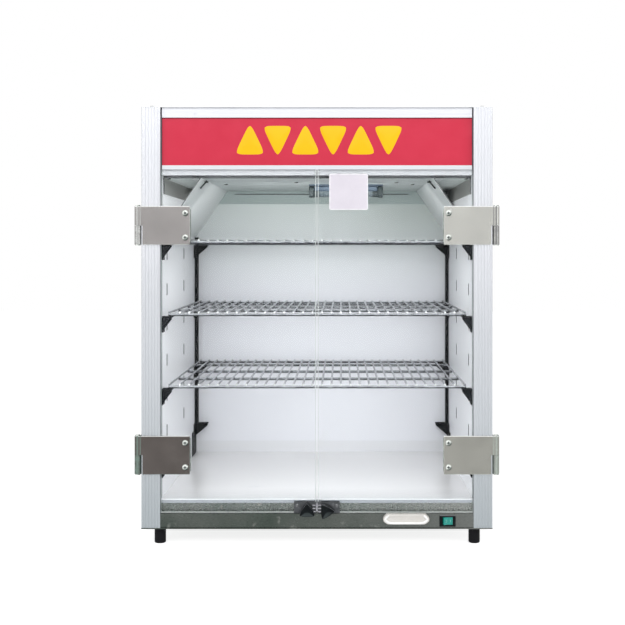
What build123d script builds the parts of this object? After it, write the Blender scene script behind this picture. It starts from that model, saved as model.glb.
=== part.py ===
from build123d import *
import math
import os

# Cabinet body, in millimetres. Depths run back from the front faces of the posts.
cabinet_width = 482.0
cabinet_depth = 430.0
cabinet_height = 579.6
base_height = 40.5
header_height = 94.1
rear_space = 38.0
sheet = 1.0
pan_sheet = 1.5
fold_radius = 0.8

# Corner posts, a fluted hollow extrusion
post_size = 26.0
post_wall = 1.6
post_corner = 1.5
flute_count = 5
flute_pitch = 4.2
flute_width = 3.2
flute_depth = 0.7
groove_inset = 1.5
groove_width = 1.2
groove_depth = 6.0
groove_grip = 5.0
screw_port_radius = 4.0
screw_hole_radius = 1.9

# Header rails and sign
rail_setback = 5.0
rail_depth = 18.0
rail_height = 13.7
rail_wall = 1.4
rail_end_rebate = 1.8
sign_thickness = 3.0
sign_grip = 5.0
sign_setback = 2.2
sign_play = 0.15
sign_end_play = 0.5
sign_groove_room = 1.0

# Ceiling and corner air deflectors
ceiling_drop = 3.0
ceiling_flange = 22.0
ceiling_front_flange = 10.0
deflector_reach = 52.5
deflector_height = 76.5
deflector_front = 14.0
deflector_flange = 15.0

# Liner slots
slot_height = 11.0
slot_width = 2.0
slot_pitch = 50.0
slot_drop = 14.0
slot_columns = (57.0, 237.0)
liner_tuck = 11.0

# Base, sill and back
sill_setback = 6.4
sill_depth = 12.0
sill_height = 18.0
sill_lip = 5.5
base_panel_setback = 1.0
base_panel_flange = 17.0
base_panel_foot = 12.0
pan_rim = 12.0
back_setback = groove_inset
back_flange = 18.0
vent_rows = 2
vent_drop = 42.0
vent_row_pitch = 14.0
vent_count = 9
vent_pitch = 22.0
vent_length = 14.0
vent_width = 3.0

# Feet
foot_height = 22.5
foot_radius = 7.9
foot_edge = 1.8
foot_stem_radius = 3.2
foot_inset_x = 23.4
foot_inset_y = 19.0

# Shelves and what carries them
level_count = 4
level_pitch = 100.0
top_level = 391.0
shelf_side_gap = 8.0
bar_count = 4
bar_radius = 2.0
wire_radius = 1.4
shelf_play = 0.2
weld_sink = 0.3
wire_count = 30
first_wire_gap = 16.0
front_bar_depth = 16.0
bar_pitch = 104.0
rear_bar_gap = 8.0
rear_leaf_length = 14.0
bracket_reach = 14.0
rear_bracket_reach = 22.0
bracket_height = 22.0
bracket_tip = 3.5
bracket_seat = 20.0
bracket_front = 7.0
bracket_steel = 1.5
upright_width = 5.0
upright_depth = 16.0
upright_gap = 0.5
upright_below = 18.0

# Glass doors
glass_thickness = 4.0
glass_proud = 0.5
glass_side_gap = 1.5
glass_centre_gap = 2.6
glass_overlap_top = 7.6
glass_bottom = 23.2
glass_hole_radius = 3.5

# Door hinges
hinge_plate_reach = 67.0
hinge_plate_height = 52.7
hinge_steel = 1.5
hinge_corner = 1.2
hinge_split = 0.2
knuckle_radius = 4.6
knuckle_clearance = 0.4
hinge_pin_radius = 2.5
pin_clearance = 0.05
hinge_offset_top = 69.0
hinge_offset_bottom = 101.7
hinge_screw_spacing = 33.4
hinge_screw_edge = 6.3
fixed_leaf_depth = 32.0
plate_notch = 2.2
rivet_radius = 3.2
rivet_height = 1.2
rivet_inset = 8.0
pin_head_radius = 3.6
pin_head_height = 1.2
pin_head_gap = 0.3
nut_radius = 3.6
nut_height = 2.0
screw_past_nut = 0.6
back_strap_width = 14.0
back_strap_height = 46.0

# Door clips, knobs and catch
clip_length = 30.0
clip_height = 16.0
clip_steel = 1.2
clip_fold_radius = 0.8
knob_offset = 13.1
knob_above_glass = 3.4
knob_inradius = 7.2
knob_side_radius = 45.0
knob_tip_radius = 2.0
knob_length = 9.0
knob_neck = 3.0
knob_neck_radius = 5.0
knob_neck_gap = 0.3
knob_bevel = 1.6
knob_dish_radius = 4.6
knob_dish_depth = 0.9
right_knob_turn = 33.0
stud_radius = 2.5
stud_head_radius = 3.5
stud_head_height = 1.0
stud_head_gap = 0.2
catch_width = 39.0
catch_height = 12.0
catch_depth = 13.0
catch_gap = 1.4
catch_step = 1.5
catch_groove_pitch = 2.4
catch_groove_height = 1.2
catch_groove_depth = 0.7
catch_groove_half = 5.0

# Rocker switch
switch_from_side = 61.8
switch_above_pan = 11.1
bezel_width = 22.1
bezel_height = 15.4
bezel_thickness = 1.8
bezel_edge = 0.8
switch_lip = 1.4
switch_body_depth = 17.0
rocker_width = 12.4
rocker_height = 10.1
rocker_tilt = 10.0
rocker_pivot = 4.0
rocker_pocket = 10.0
rocker_end_room = 1.0
rocker_side_room = 0.3
rocker_ridge = 4.8
rocker_shoulder = 1.0
rocker_valley = 3.2
rocker_nose = 4.6
terminal_length = 7.0
terminal_pitch = 5.0
terminal_steel = 0.8
terminal_width = 4.8

# Water tray and its pull
tray_from_side = 118.9
tray_width = 54.0
tray_height = 10.0
tray_length = 190.0
tray_sheet = 0.8
tray_above_pan = 10.0
tray_clearance = 0.3
tray_mouth_side = 1.0
tray_mouth_under = 0.8
tray_corner = 1.5
guide_sheet = 0.8
guide_foot = 8.0
pull_width = 63.0
pull_height = 14.0
pull_depth = 9.7
pull_wall = 2.0
pull_top_inset = 7.5
pull_bottom_inset = 8.5
pull_belly = 6.0
pull_corner = 5.0
pull_top_corner = 2.0
pull_edge = 1.2
pull_rim = 3.0
pull_dish = 0.8
pull_finger_roof = 3.0
pull_under_glass = 1.0

# Heater, lamp and wiring parts
element_radius = 3.25
element_drop = 9.5
element_from_side = 91.0
element_inner_x = 60.0
element_front = 90.0
element_return = 290.0
element_rear = 350.0
element_end = 30.0
element_bend = 18.0
element_clip_depth = 190.0
element_clip_width = 12.0
element_clip_length = 10.0
wire_block_depth = 20.0
wire_block_drop = 6.0
wire_hole_radius = 3.0
wire_hole_depth = 4.0
wire_hole_pitch = 16.0
wire_hole_offset = 3.0
thermostat_depth = 200.0
thermostat_radius = 9.0
thermostat_height = 9.0
thermostat_ear_reach = 14.0
thermostat_ear_width = 6.0
thermostat_ear_steel = 1.2
lamp_x = 40.4
lamp_depth = 190.0
lamp_length = 113.0
lamp_height = 20.0
lamp_base_width = 22.0
lamp_base_height = 2.0
socket_width = 18.0
socket_length = 8.0
tube_radius = 7.0
tube_rise = 1.0
inlet_from_side = 91.0
inlet_width = 50.0
inlet_height = 22.5
inlet_thickness = 3.0
inlet_above_pan = 22.0
inlet_body_width = 27.0
inlet_body_height = 19.5
inlet_body_depth = 19.0
inlet_mouth_width = 24.0
inlet_mouth_height = 16.5
inlet_mouth_depth = 16.0
inlet_corner = 5.0
inlet_mouth_corner = 4.0
inlet_pin_length = 12.0
inlet_pin_width = 2.0
inlet_pin_height = 4.0
inlet_pin_pitch = 7.0
inlet_pin_drop = 1.5
inlet_earth_rise = 2.5

# Screws
roof_screw_radius = 3.8
roof_screw_height = 2.2
base_screw_radius = 3.4
base_screw_height = 1.8
shank_radius = 1.8
shank_play = 0.1
screw_play = 0.3
screw_bite = 2.5
screw_tip_room = 0.5
screw_row_share = 0.7
head_round_share = 0.6
pan_head_radius = 4.2
pan_head_height = 2.4
rail_screw_shares = (-0.943, -0.309, 0.322, 0.953)

# Levels and planes worked out from the sizes above
half_width = cabinet_width / 2
post_inner = half_width - post_size
liner_inner = post_inner - sheet
interior_depth = cabinet_depth - rear_space
shelf_half = liner_inner - shelf_side_gap
rear_bar_depth = interior_depth - rear_bar_gap
switch_x = half_width - switch_from_side
tray_x = half_width - tray_from_side
inlet_x = inlet_from_side - half_width
element_half_width = half_width - element_from_side
rail_screw_offsets = [share * post_inner for share in rail_screw_shares]
pan_bottom = foot_height
pan_top = pan_bottom + pan_sheet
floor_top = pan_bottom + base_height
roof_top = pan_bottom + cabinet_height
roof_under = roof_top - sheet
header_bottom = roof_top - header_height
ceiling_under = header_bottom - ceiling_drop
deflector_slope = deflector_height / deflector_reach
deflector_foot = ceiling_under - deflector_height - sheet * deflector_slope
lower_rail_top = header_bottom + rail_height
upper_rail_bottom = roof_under - rail_height
base_panel_top = floor_top - sheet - sill_height
glass_bottom_z = pan_bottom + glass_bottom
glass_top_z = header_bottom + glass_overlap_top
glass_front = -glass_proud
glass_back = glass_front + glass_thickness
glass_outer_x = post_inner - glass_side_gap
glass_inner_x = glass_centre_gap / 2
plate_front = glass_front - hinge_steel
hinge_x = half_width + knuckle_radius + knuckle_clearance
hinge_depth = plate_front + knuckle_radius
plate_inner_x = half_width - hinge_plate_reach
hinge_levels = (header_bottom - hinge_offset_top, pan_bottom + hinge_offset_bottom)
screw_x = plate_inner_x + hinge_screw_edge
strap_back = glass_back + hinge_steel
clip_front = glass_front - clip_steel
clip_back = glass_back + clip_steel
knob_front = clip_front - knob_neck - knob_length
back_panel_rear = cabinet_depth - back_setback - 0.1
inlet_proud = back_panel_rear + inlet_thickness - cabinet_depth
front_y = (-knob_front - cabinet_depth - inlet_proud) / 2
levels = [pan_bottom + top_level - k * level_pitch for k in range(level_count)]
tray_bottom = pan_bottom + tray_above_pan
port_inset = post_size / 2
liner_rear = cabinet_depth - post_size + liner_tuck
screw_row = rail_setback + rail_depth * screw_row_share
switch_z = pan_bottom + switch_above_pan
knob_z = glass_bottom_z + knob_above_glass
inlet_z = pan_top + inlet_above_pan


def at_depth(depth):
    """Row Y of a plane this far behind the front faces of the posts."""
    return front_y + depth


def block(x, depth, z):
    """A box from its spans across, back and up."""
    size = (x[1] - x[0], depth[1] - depth[0], z[1] - z[0])
    centre = ((x[0] + x[1]) / 2, at_depth((depth[0] + depth[1]) / 2), (z[0] + z[1]) / 2)
    return Pos(*centre) * Box(*size)


def along_x(points, x0, x1):
    """A profile of (depth, height) points carried across from x0 to x1."""
    face = make_face(Polyline(*[(at_depth(d), z) for d, z in points], close=True))
    return Pos(x0, 0, 0) * extrude(Plane.YZ * face, x1 - x0)


def along_y(face, depth0, depth1):
    """A face drawn as (x, z) carried back from depth0 to depth1."""
    return Pos(0, at_depth(depth1), 0) * extrude(Plane.XZ * face, depth1 - depth0)


def outline(points):
    """A face inside straight edges."""
    return make_face(Polyline(*points, close=True))


def rod_y(radius, x, z, depth0, depth1):
    """A round bar or drill running front to back."""
    length = depth1 - depth0
    return Pos(x, at_depth((depth0 + depth1) / 2), z) * Rot(90, 0, 0) * Cylinder(radius, length)


def rod_z(radius, x, depth, z0, z1):
    """A round bar or drill running upwards."""
    return Pos(x, at_depth(depth), (z0 + z1) / 2) * Cylinder(radius, z1 - z0)


def other_side(part):
    """The same piece on the other side of the cabinet."""
    return mirror(part, about=Plane.YZ)


nodes = {}


def keep(name, *solids):
    """Store a node as one compound of its solids."""
    found = [s for part in solids for s in part.solids()]
    nodes[name] = found[0] if len(found) == 1 else Compound(children=found)


# Corner posts: the same extrusion at four corners, turned by mirroring
def post_profile():
    """Square tube with fluted outer faces, a panel groove in each inner face and a screw port."""
    profile = Rectangle(post_size, post_size, align=(Align.MIN, Align.MIN))
    profile = fillet(profile.vertices().sort_by(lambda v: v.X + v.Y)[0], post_corner)
    radius = (flute_width**2 / 4 + flute_depth**2) / (2 * flute_depth)
    first = post_size / 2 - flute_pitch * (flute_count - 1) / 2
    for k in range(flute_count):
        place = first + k * flute_pitch
        profile -= Pos(place, flute_depth - radius) * Circle(radius)
        profile -= Pos(flute_depth - radius, place) * Circle(radius)
    groove_start = post_size - groove_depth
    for groove in (
        Pos(groove_start, groove_inset) * Rectangle(groove_depth, groove_width, align=Align.MIN),
        Pos(groove_inset, groove_start) * Rectangle(groove_width, groove_depth, align=Align.MIN),
    ):
        profile -= groove
    outer = flute_depth + post_wall
    inner = post_size - post_wall
    behind = groove_inset + groove_width + post_wall
    short = groove_start - post_wall
    chamber = outline(
        [(outer, outer), (short, outer), (short, behind), (inner, behind),
         (inner, inner), (behind, inner), (behind, short), (outer, short)]
    )
    port = Pos(port_inset, port_inset) * Circle(screw_port_radius)
    web = Pos(port_inset, inner) * Rectangle(post_wall, 2 * (inner - port_inset))
    cross_web = Pos(inner, port_inset) * Rectangle(2 * (inner - port_inset), post_wall)
    chamber -= port + web + cross_web
    profile -= chamber
    return profile - Pos(port_inset, port_inset) * Circle(screw_hole_radius)


def make_posts():
    """Posts stand on the base pan and carry the roof."""
    bar = extrude(post_profile(), roof_under - pan_top)
    front = Pos(-half_width, at_depth(0), pan_top) * bar
    turned = mirror(bar, about=Plane.XZ)
    rear = Pos(-half_width, at_depth(cabinet_depth), pan_top) * turned
    keep("post_front_left", front)
    keep("post_front_right", other_side(front))
    keep("post_rear_left", rear)
    keep("post_rear_right", other_side(rear))


# Header: two grooved rails with the sign sheet between them
def header_rail(z0, z1, groove_up):
    """Hollow rail with a groove for the sign along its inner edge."""
    d0 = rail_setback
    d1 = rail_setback + rail_depth
    rail = block((-post_inner, post_inner), (d0, d1), (z0, z1))
    slot0 = d0 + sign_setback
    slot1 = slot0 + sign_thickness + 2 * sign_play
    reach = sign_grip + sign_groove_room
    edge = (z1 - reach, z1) if groove_up else (z0, z0 + reach)
    rail -= block((-post_inner, post_inner), (slot0, slot1), edge)
    chamber = (slot1 + rail_wall, d1 - rail_wall)
    rail -= block((-post_inner, post_inner), chamber, (z0 + rail_wall, z1 - rail_wall))
    for side in (-1, 1):
        end = sorted((side * post_inner, side * (post_inner - rail_end_rebate)))
        rail -= block(end, (d0, d0 + sign_setback - rail_wall / 2), (z0, z1))
    return rail


def make_header():
    """Rails between the front posts, with the sign held with a little play in their grooves."""
    top = header_rail(upper_rail_bottom, roof_under, False)
    for x in rail_screw_offsets:
        tip = roof_under - screw_bite - screw_tip_room
        top -= rod_z(screw_hole_radius, x, screw_row, tip, roof_under)
    keep("header_top_rail", top)
    keep("header_bottom_rail", header_rail(header_bottom, lower_rail_top, True))
    face = rail_setback + sign_setback + sign_play
    sign = block(
        (-post_inner + sign_end_play, post_inner - sign_end_play),
        (face, face + sign_thickness),
        (lower_rail_top - sign_grip, upper_rail_bottom + sign_grip),
    )
    keep("sign_panel", sign)


# Roof and ceiling
def roof_screw_places():
    """Screws into the posts, the top rail and the flange of the back panel."""
    rear_row = cabinet_depth - back_setback - back_flange / 2
    corner = half_width - port_inset
    places = [(x, screw_row) for x in rail_screw_offsets]
    places += [(x, rear_row) for x in rail_screw_offsets]
    places += [(s * corner, d) for s in (-1, 1) for d in (port_inset, cabinet_depth - port_inset)]
    return places


def make_roof():
    """A flat sheet over the posts, with the pan head screws that hold it."""
    roof = block((-half_width, half_width), (0, cabinet_depth), (roof_under, roof_top))
    screws = []
    for x, depth in roof_screw_places():
        roof -= rod_z(shank_radius + shank_play, x, depth, roof_under, roof_top)
        shank = rod_z(shank_radius, x, depth, roof_under - screw_bite, roof_top)
        head = rod_z(roof_screw_radius, x, depth, roof_top, roof_top + roof_screw_height)
        head = fillet(head.edges().group_by(Axis.Z)[-1], roof_screw_height * head_round_share)
        screws.append(shank + head)
    keep("roof_panel", roof)
    return screws


def make_ceiling():
    """Sheet folded down along the sides and back, and up behind the header rail."""
    front = rail_setback + rail_depth
    x = liner_inner
    top = ceiling_under + sheet
    low = ceiling_under - ceiling_flange
    ceiling = block((-x, x), (front, interior_depth), (low, top))
    ceiling -= block((-x + sheet, x - sheet), (front, interior_depth - sheet), (low, ceiling_under))
    ceiling += block((-x, x), (front, front + sheet), (top, top + ceiling_front_flange))
    keep("ceiling_panel", ceiling)


def make_deflectors():
    """Sloped sheets across the upper corners, with a flange on the ceiling and one on the wall."""
    wall_x = -liner_inner
    top_x = wall_x + sheet + deflector_reach
    slope = deflector_slope
    foot = deflector_foot
    rise = sheet * math.hypot(1, slope)
    step = rise / slope
    face = outline(
        [(top_x, ceiling_under), (wall_x, foot), (wall_x, foot + deflector_flange),
         (wall_x + sheet, foot + deflector_flange), (wall_x + sheet, foot + rise + sheet * slope),
         (top_x - step - sheet / slope, ceiling_under - sheet),
         (top_x - deflector_flange, ceiling_under - sheet), (top_x - deflector_flange, ceiling_under)]
    )
    panel = along_y(face, deflector_front, interior_depth - sheet)
    keep("air_deflector_left", panel)
    keep("air_deflector_right", other_side(panel))


# Liners and outer skins
def slot_levels():
    """Heights of the slot centres, at half the pitch of the shelf levels."""
    count = int(level_pitch * (level_count - 1) / slot_pitch)
    return [levels[0] - slot_drop - k * slot_pitch for k in range(count)]


def make_liners():
    """Slotted side liners, the back liner and the cabinet floor."""
    front = sill_setback
    side = block((-post_inner, -liner_inner), (front, liner_rear), (floor_top, header_bottom))
    for depth in slot_columns:
        for z in slot_levels():
            hole = (z - slot_height / 2, z + slot_height / 2)
            side -= block((-post_inner, -liner_inner), (depth, depth + slot_width), hole)
    keep("side_liner_left", side)
    keep("side_liner_right", other_side(side))
    back = block(
        (-liner_inner, liner_inner),
        (interior_depth, interior_depth + sheet),
        (floor_top, ceiling_under + sheet),
    )
    keep("back_liner", back)
    lip = sill_setback - sheet
    floor = block((-post_inner, post_inner), (lip, liner_rear), (floor_top - sheet, floor_top))
    floor += block((-post_inner, post_inner), (lip, sill_setback), (floor_top - sill_lip, floor_top))
    edge = floor.edges().filter_by(Axis.X).sort_by(lambda e: e.center().Y - e.center().Z)[0]
    keep("cabinet_floor", fillet(edge, fold_radius))


def make_skins():
    """Outer side panels and back panel, held in the grooves of the posts."""
    skin = groove_width - 0.2
    outer = half_width - groove_inset - 0.1
    front = post_size - groove_grip
    side = block(
        (-outer, -outer + skin),
        (front, cabinet_depth - front),
        (pan_top, roof_under),
    )
    keep("side_panel_left", side)
    keep("side_panel_right", other_side(side))

    rear = back_panel_rear
    reach = post_inner + groove_grip
    back = block((-reach, reach), (rear - skin, rear), (pan_top, roof_under))
    back += block(
        (-post_inner, post_inner),
        (rear - back_flange, rear),
        (roof_under - sheet, roof_under),
    )
    start = -vent_pitch * (vent_count - 1) / 2
    for row in range(vent_rows):
        z = roof_under - vent_drop - row * vent_row_pitch
        for k in range(vent_count):
            x = start + k * vent_pitch
            slot = Pos(x, z) * SlotOverall(vent_length, vent_width)
            back -= along_y(slot, rear - skin, rear)
    mouth = Pos(inlet_x, inlet_z) * Rectangle(inlet_body_width + 1, inlet_body_height + 1)
    back -= along_y(mouth, rear - skin, rear)
    for x, depth in roof_screw_places():
        if depth > cabinet_depth / 2 and abs(x) < post_inner:
            back -= rod_z(shank_radius + shank_play, x, depth, roof_under - sheet, roof_under)
    keep("back_panel", back)


# Base
def make_base():
    """Folded pan under the cabinet with the front panel and the door sill above it."""
    pan = block((-half_width, half_width), (0, cabinet_depth), (pan_bottom, pan_top))
    rim = half_width - groove_inset - groove_width
    for side in (-1, 1):
        x = sorted((side * rim, side * (rim - pan_sheet)))
        depth = (post_size, cabinet_depth - post_size)
        pan += block(x, depth, (pan_top, pan_top + pan_rim))
        for depth in (foot_inset_y, cabinet_depth - foot_inset_y):
            x = side * (half_width - foot_inset_x)
            pan -= rod_z(foot_stem_radius, x, depth, pan_bottom, pan_top)
        for depth in (port_inset, cabinet_depth - port_inset):
            x = side * (half_width - port_inset)
            pan -= rod_z(shank_radius + shank_play, x, depth, pan_bottom, pan_top)
    keep("base_pan", pan)

    d0 = base_panel_setback
    d1 = d0 + base_panel_flange
    foot = d0 + base_panel_foot
    t = sheet
    z0 = pan_top
    z1 = base_panel_top
    panel = along_x(
        [(d0, z0), (foot, z0), (foot, z0 + t), (d0 + t, z0 + t),
         (d0 + t, z1 - t), (d1, z1 - t), (d1, z1), (d0, z1)],
        -post_inner, post_inner,
    )
    edges = panel.edges().filter_by(Axis.X).group_by(Axis.Y)[0]
    panel = fillet(edges, fold_radius)
    mouth_half = tray_width / 2 + tray_mouth_side
    mouth_z = (tray_bottom - tray_mouth_under, tray_bottom + tray_height + tray_clearance)
    panel -= block((tray_x - mouth_half, tray_x + mouth_half), (d0, d0 + t), mouth_z)
    half = bezel_width / 2 - switch_lip
    hole_z = (switch_z - bezel_height / 2 + switch_lip, switch_z + bezel_height / 2 - switch_lip)
    panel -= block((switch_x - half, switch_x + half), (d0, d0 + t), hole_z)
    keep("base_front_panel", panel)

    d0 = sill_setback
    d1 = d0 + sill_depth
    z0 = base_panel_top
    z1 = floor_top - sheet
    sill = along_x(
        [(d0, z0), (d1, z0), (d1, z0 + t), (d0 + t, z0 + t),
         (d0 + t, z1 - t), (d1, z1 - t), (d1, z1), (d0, z1)],
        -post_inner, post_inner,
    )
    cut = catch_width / 2 + shelf_play
    sill -= block((-cut, cut), (d0, d0 + t), (z0 + t, z0 + t + catch_height + shelf_play))
    keep("door_sill", sill)


def make_feet():
    """Rubber feet with a stem through the pan, and the screws from the pan into the posts."""
    feet = []
    for side in (-1, 1):
        for depth in (foot_inset_y, cabinet_depth - foot_inset_y):
            x = side * (half_width - foot_inset_x)
            body = rod_z(foot_radius, x, depth, 0, foot_height)
            body = fillet(body.edges().group_by(Axis.Z)[0], foot_edge)
            stem = rod_z(foot_stem_radius, x, depth, foot_height, pan_top)
            feet.append(body + stem)
    keep("rubber_feet", *feet)
    screws = []
    for side in (-1, 1):
        for depth in (port_inset, cabinet_depth - port_inset):
            x = side * (half_width - port_inset)
            shank = rod_z(shank_radius, x, depth, pan_bottom, pan_top + screw_bite)
            head = rod_z(base_screw_radius, x, depth, pan_bottom - base_screw_height, pan_bottom)
            rim = head.edges().group_by(Axis.Z)[0]
            screws.append(shank + fillet(rim, base_screw_height * head_round_share))
    return screws


# Shelves
def wire(face_plane, radius, length):
    """Eight sided wire, flat where another wire is welded across it."""
    section = RegularPolygon(radius, 8, major_radius=False, rotation=22.5)
    return extrude(face_plane * section, length)


def wire_shelf(seat):
    """Cross bars under a row of front to back wires, welded where they meet."""
    half = shelf_half
    bar_z = seat + shelf_play + bar_radius
    wire_z = bar_z + bar_radius + wire_radius - weld_sink
    bar_depths = [front_bar_depth + k * bar_pitch for k in range(bar_count)] + [rear_bar_depth]
    bars = [Pos(-half, at_depth(d), bar_z) * wire(Plane.YZ, bar_radius, 2 * half) for d in bar_depths]
    inner = half - first_wire_gap
    pitch = 2 * inner / (wire_count - 1)
    places = [-half + wire_radius, half - wire_radius]
    places += [-inner + k * pitch for k in range(wire_count)]
    front = front_bar_depth - bar_radius
    rear = rear_bar_depth + bar_radius
    wires = [Pos(x, at_depth(rear), wire_z) * wire(Plane.XZ, wire_radius, rear - front) for x in places]
    return bars[0].fuse(*bars[1:], *wires)


def bracket_at(seat):
    """Front bracket: a gusset facing the door, with a seat and a leaf against the wall."""
    wall = -liner_inner
    tip = wall + bracket_reach
    t = bracket_steel
    gusset = outline(
        [(wall, seat), (tip, seat), (tip, seat - bracket_tip), (wall, seat - bracket_height)]
    )
    front = bracket_front
    rear = bracket_front + bracket_seat
    part = along_y(gusset, front, front + t)
    part += block((wall, tip), (front, rear), (seat - t, seat))
    part += block((wall, wall + t), (front, rear), (seat - bracket_height, seat))
    return part


def rear_bracket_at(seat):
    """Rear bracket: a wider gusset against the corner upright, with its seat behind it."""
    wall = -liner_inner
    tip = wall + rear_bracket_reach
    t = bracket_steel
    rear = interior_depth - upright_depth
    gusset = outline(
        [(wall, seat), (tip, seat), (tip, seat - bracket_tip), (wall, seat - bracket_height)]
    )
    part = along_y(gusset, rear - t, rear)
    seat_x = (wall + upright_width + shelf_play, tip)
    part += block(seat_x, (rear - t, interior_depth - 2 * sheet), (seat - t, seat))
    part += block((wall, wall + t), (rear - rear_leaf_length, rear), (seat - bracket_height, seat))
    return part


def make_shelves():
    """Three wire shelves on four levels of brackets."""
    for name, seat in zip(("top", "middle", "lower"), levels):
        keep("shelf_" + name, wire_shelf(seat))
    for name, make in (("front", bracket_at), ("rear", rear_bracket_at)):
        left = [make(seat) for seat in levels]
        keep("brackets_" + name, *left, *[other_side(part) for part in left])
    t = bracket_steel
    span = (levels[-1] - upright_below, deflector_foot - upright_gap)
    wall = -liner_inner
    depth = (interior_depth - upright_depth, interior_depth)
    bar = block((wall, wall + upright_width), depth, span)
    bar -= block((wall, wall + upright_width - t), (depth[0] + t, depth[1] - t), span)
    keep("corner_uprights", bar, other_side(bar))


# Doors
def hinge_screw_heights(level):
    return [level + s * hinge_screw_spacing / 2 for s in (-1, 1)]


def door_parts():
    """Left door: glass, hinge plates, straps with screws, clip. The right door mirrors it."""
    glass = block(
        (-glass_outer_x, -glass_inner_x), (glass_front, glass_back), (glass_bottom_z, glass_top_z)
    )
    straps = []
    screws = []
    for level in hinge_levels:
        for z in hinge_screw_heights(level):
            glass -= rod_y(glass_hole_radius, -screw_x, z, glass_front, glass_back)
            screws.append(hinge_screw(-screw_x, z))
        x = (-screw_x - back_strap_width / 2, -screw_x + back_strap_width / 2)
        z = (level - back_strap_height / 2, level + back_strap_height / 2)
        strap = block(x, (glass_back, strap_back), z)
        for hole_z in hinge_screw_heights(level):
            strap -= rod_y(shank_radius + screw_play, -screw_x, hole_z, glass_back, strap_back)
        straps.append(strap)
    glass -= rod_y(stud_radius + 1, -knob_offset, knob_z, glass_front, glass_back)
    return glass, straps, screws


def hinge_screw(x, z):
    """Pan head screw through plate, glass and strap, with its nut behind."""
    head = rod_y(pan_head_radius, x, z, plate_front - pan_head_height, plate_front)
    head = fillet(head.edges().group_by(Axis.Y)[0], pan_head_height * head_round_share)
    nut_back = strap_back + nut_height
    nut = along_y(Pos(x, z) * RegularPolygon(nut_radius, 6), strap_back, nut_back)
    return head + rod_y(shank_radius, x, z, plate_front, nut_back + screw_past_nut) + nut


def knuckle(z0, z1):
    """One rolled barrel of a left hinge, bored for the pin."""
    barrel = rod_z(knuckle_radius, -hinge_x, hinge_depth, z0, z1)
    return barrel, rod_z(hinge_pin_radius + pin_clearance, -hinge_x, hinge_depth, z0, z1)


def hinge_at(level):
    """Door plate with the upper barrel, fixed leaf with the lower barrel, and the pin."""
    low = level - hinge_plate_height / 2
    high = level + hinge_plate_height / 2
    plate_depth = (plate_front, plate_front + hinge_steel)
    plate = block((-hinge_x, -plate_inner_x), plate_depth, (low, high))
    notch_x = -half_width + plate_notch
    plate -= block((-hinge_x, notch_x), plate_depth, (low, level + hinge_split))
    corners = plate.edges().filter_by(Axis.Y).group_by(Axis.X)[-1]
    plate = fillet(corners, hinge_corner)
    barrel, bore = knuckle(level + hinge_split, high)
    plate = plate + barrel - bore
    for z in hinge_screw_heights(level):
        plate -= rod_y(shank_radius + screw_play, -screw_x, z, *plate_depth)

    leaf_x = (-half_width - hinge_steel, -half_width)
    rear = hinge_depth + fixed_leaf_depth
    leaf = block(leaf_x, (hinge_depth, rear), (low, high))
    clear = hinge_depth + knuckle_radius + knuckle_clearance
    leaf -= block(leaf_x, (hinge_depth, clear), (level - hinge_split, high))
    barrel, bore = knuckle(low, level - hinge_split)
    leaf = leaf + barrel - bore
    for z in hinge_screw_heights(level):
        centre = Pos(-half_width - hinge_steel - rivet_height / 2, at_depth(rear - rivet_inset), z)
        leaf += centre * Rot(0, 90, 0) * Cylinder(rivet_radius, rivet_height)

    top = high + pin_head_gap
    pin = rod_z(hinge_pin_radius, -hinge_x, hinge_depth, low, top)
    pin += rod_z(pin_head_radius, -hinge_x, hinge_depth, low - pin_head_height, low)
    pin += rod_z(pin_head_radius, -hinge_x, hinge_depth, top, top + pin_head_height)
    return plate, leaf, pin


def make_clip():
    """Folded clip over the bottom edge of the glass at the meeting corner."""
    z0 = glass_bottom_z - clip_steel
    z1 = z0 + clip_height
    points = [
        (clip_front, z0), (clip_back, z0), (clip_back, z1), (glass_back, z1),
        (glass_back, glass_bottom_z), (glass_front, glass_bottom_z), (glass_front, z1), (clip_front, z1),
    ]
    clip = along_x(points, -glass_inner_x - clip_length, -glass_inner_x)
    edges = clip.edges().filter_by(Axis.X).group_by(Axis.Z)[0]
    clip = fillet(edges, clip_fold_radius)
    return clip - rod_y(stud_radius + pin_clearance, -knob_offset, knob_z, clip_front, clip_back)


def make_knob(side, turn):
    """Three sided knob with bowed sides and a dished face, on a stud headed behind the clip."""
    reach = knob_side_radius - knob_inradius
    face = None
    for k in range(3):
        angle = math.radians(90 + 120 * k + turn)
        disc = Pos(reach * math.cos(angle), reach * math.sin(angle)) * Circle(knob_side_radius)
        face = disc if face is None else face & disc
    face = fillet(face.vertices(), knob_tip_radius)
    x = side * knob_offset
    z = knob_z
    cap = along_y(Pos(x, z) * face, knob_front, knob_front + knob_length)
    cap = chamfer(cap.faces().sort_by(Axis.Y)[0].edges(), knob_bevel)
    ball = (knob_dish_radius**2 + knob_dish_depth**2) / (2 * knob_dish_depth)
    cap -= Pos(x, at_depth(knob_front + knob_dish_depth - ball), z) * Sphere(ball)
    neck_end = clip_front - knob_neck_gap
    head_start = clip_back + stud_head_gap
    neck = rod_y(knob_neck_radius, x, z, knob_front + knob_length, neck_end)
    stud = rod_y(stud_radius, x, z, neck_end, head_start)
    end = rod_y(stud_head_radius, x, z, head_start, head_start + stud_head_height)
    return cap + neck + stud + end


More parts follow.
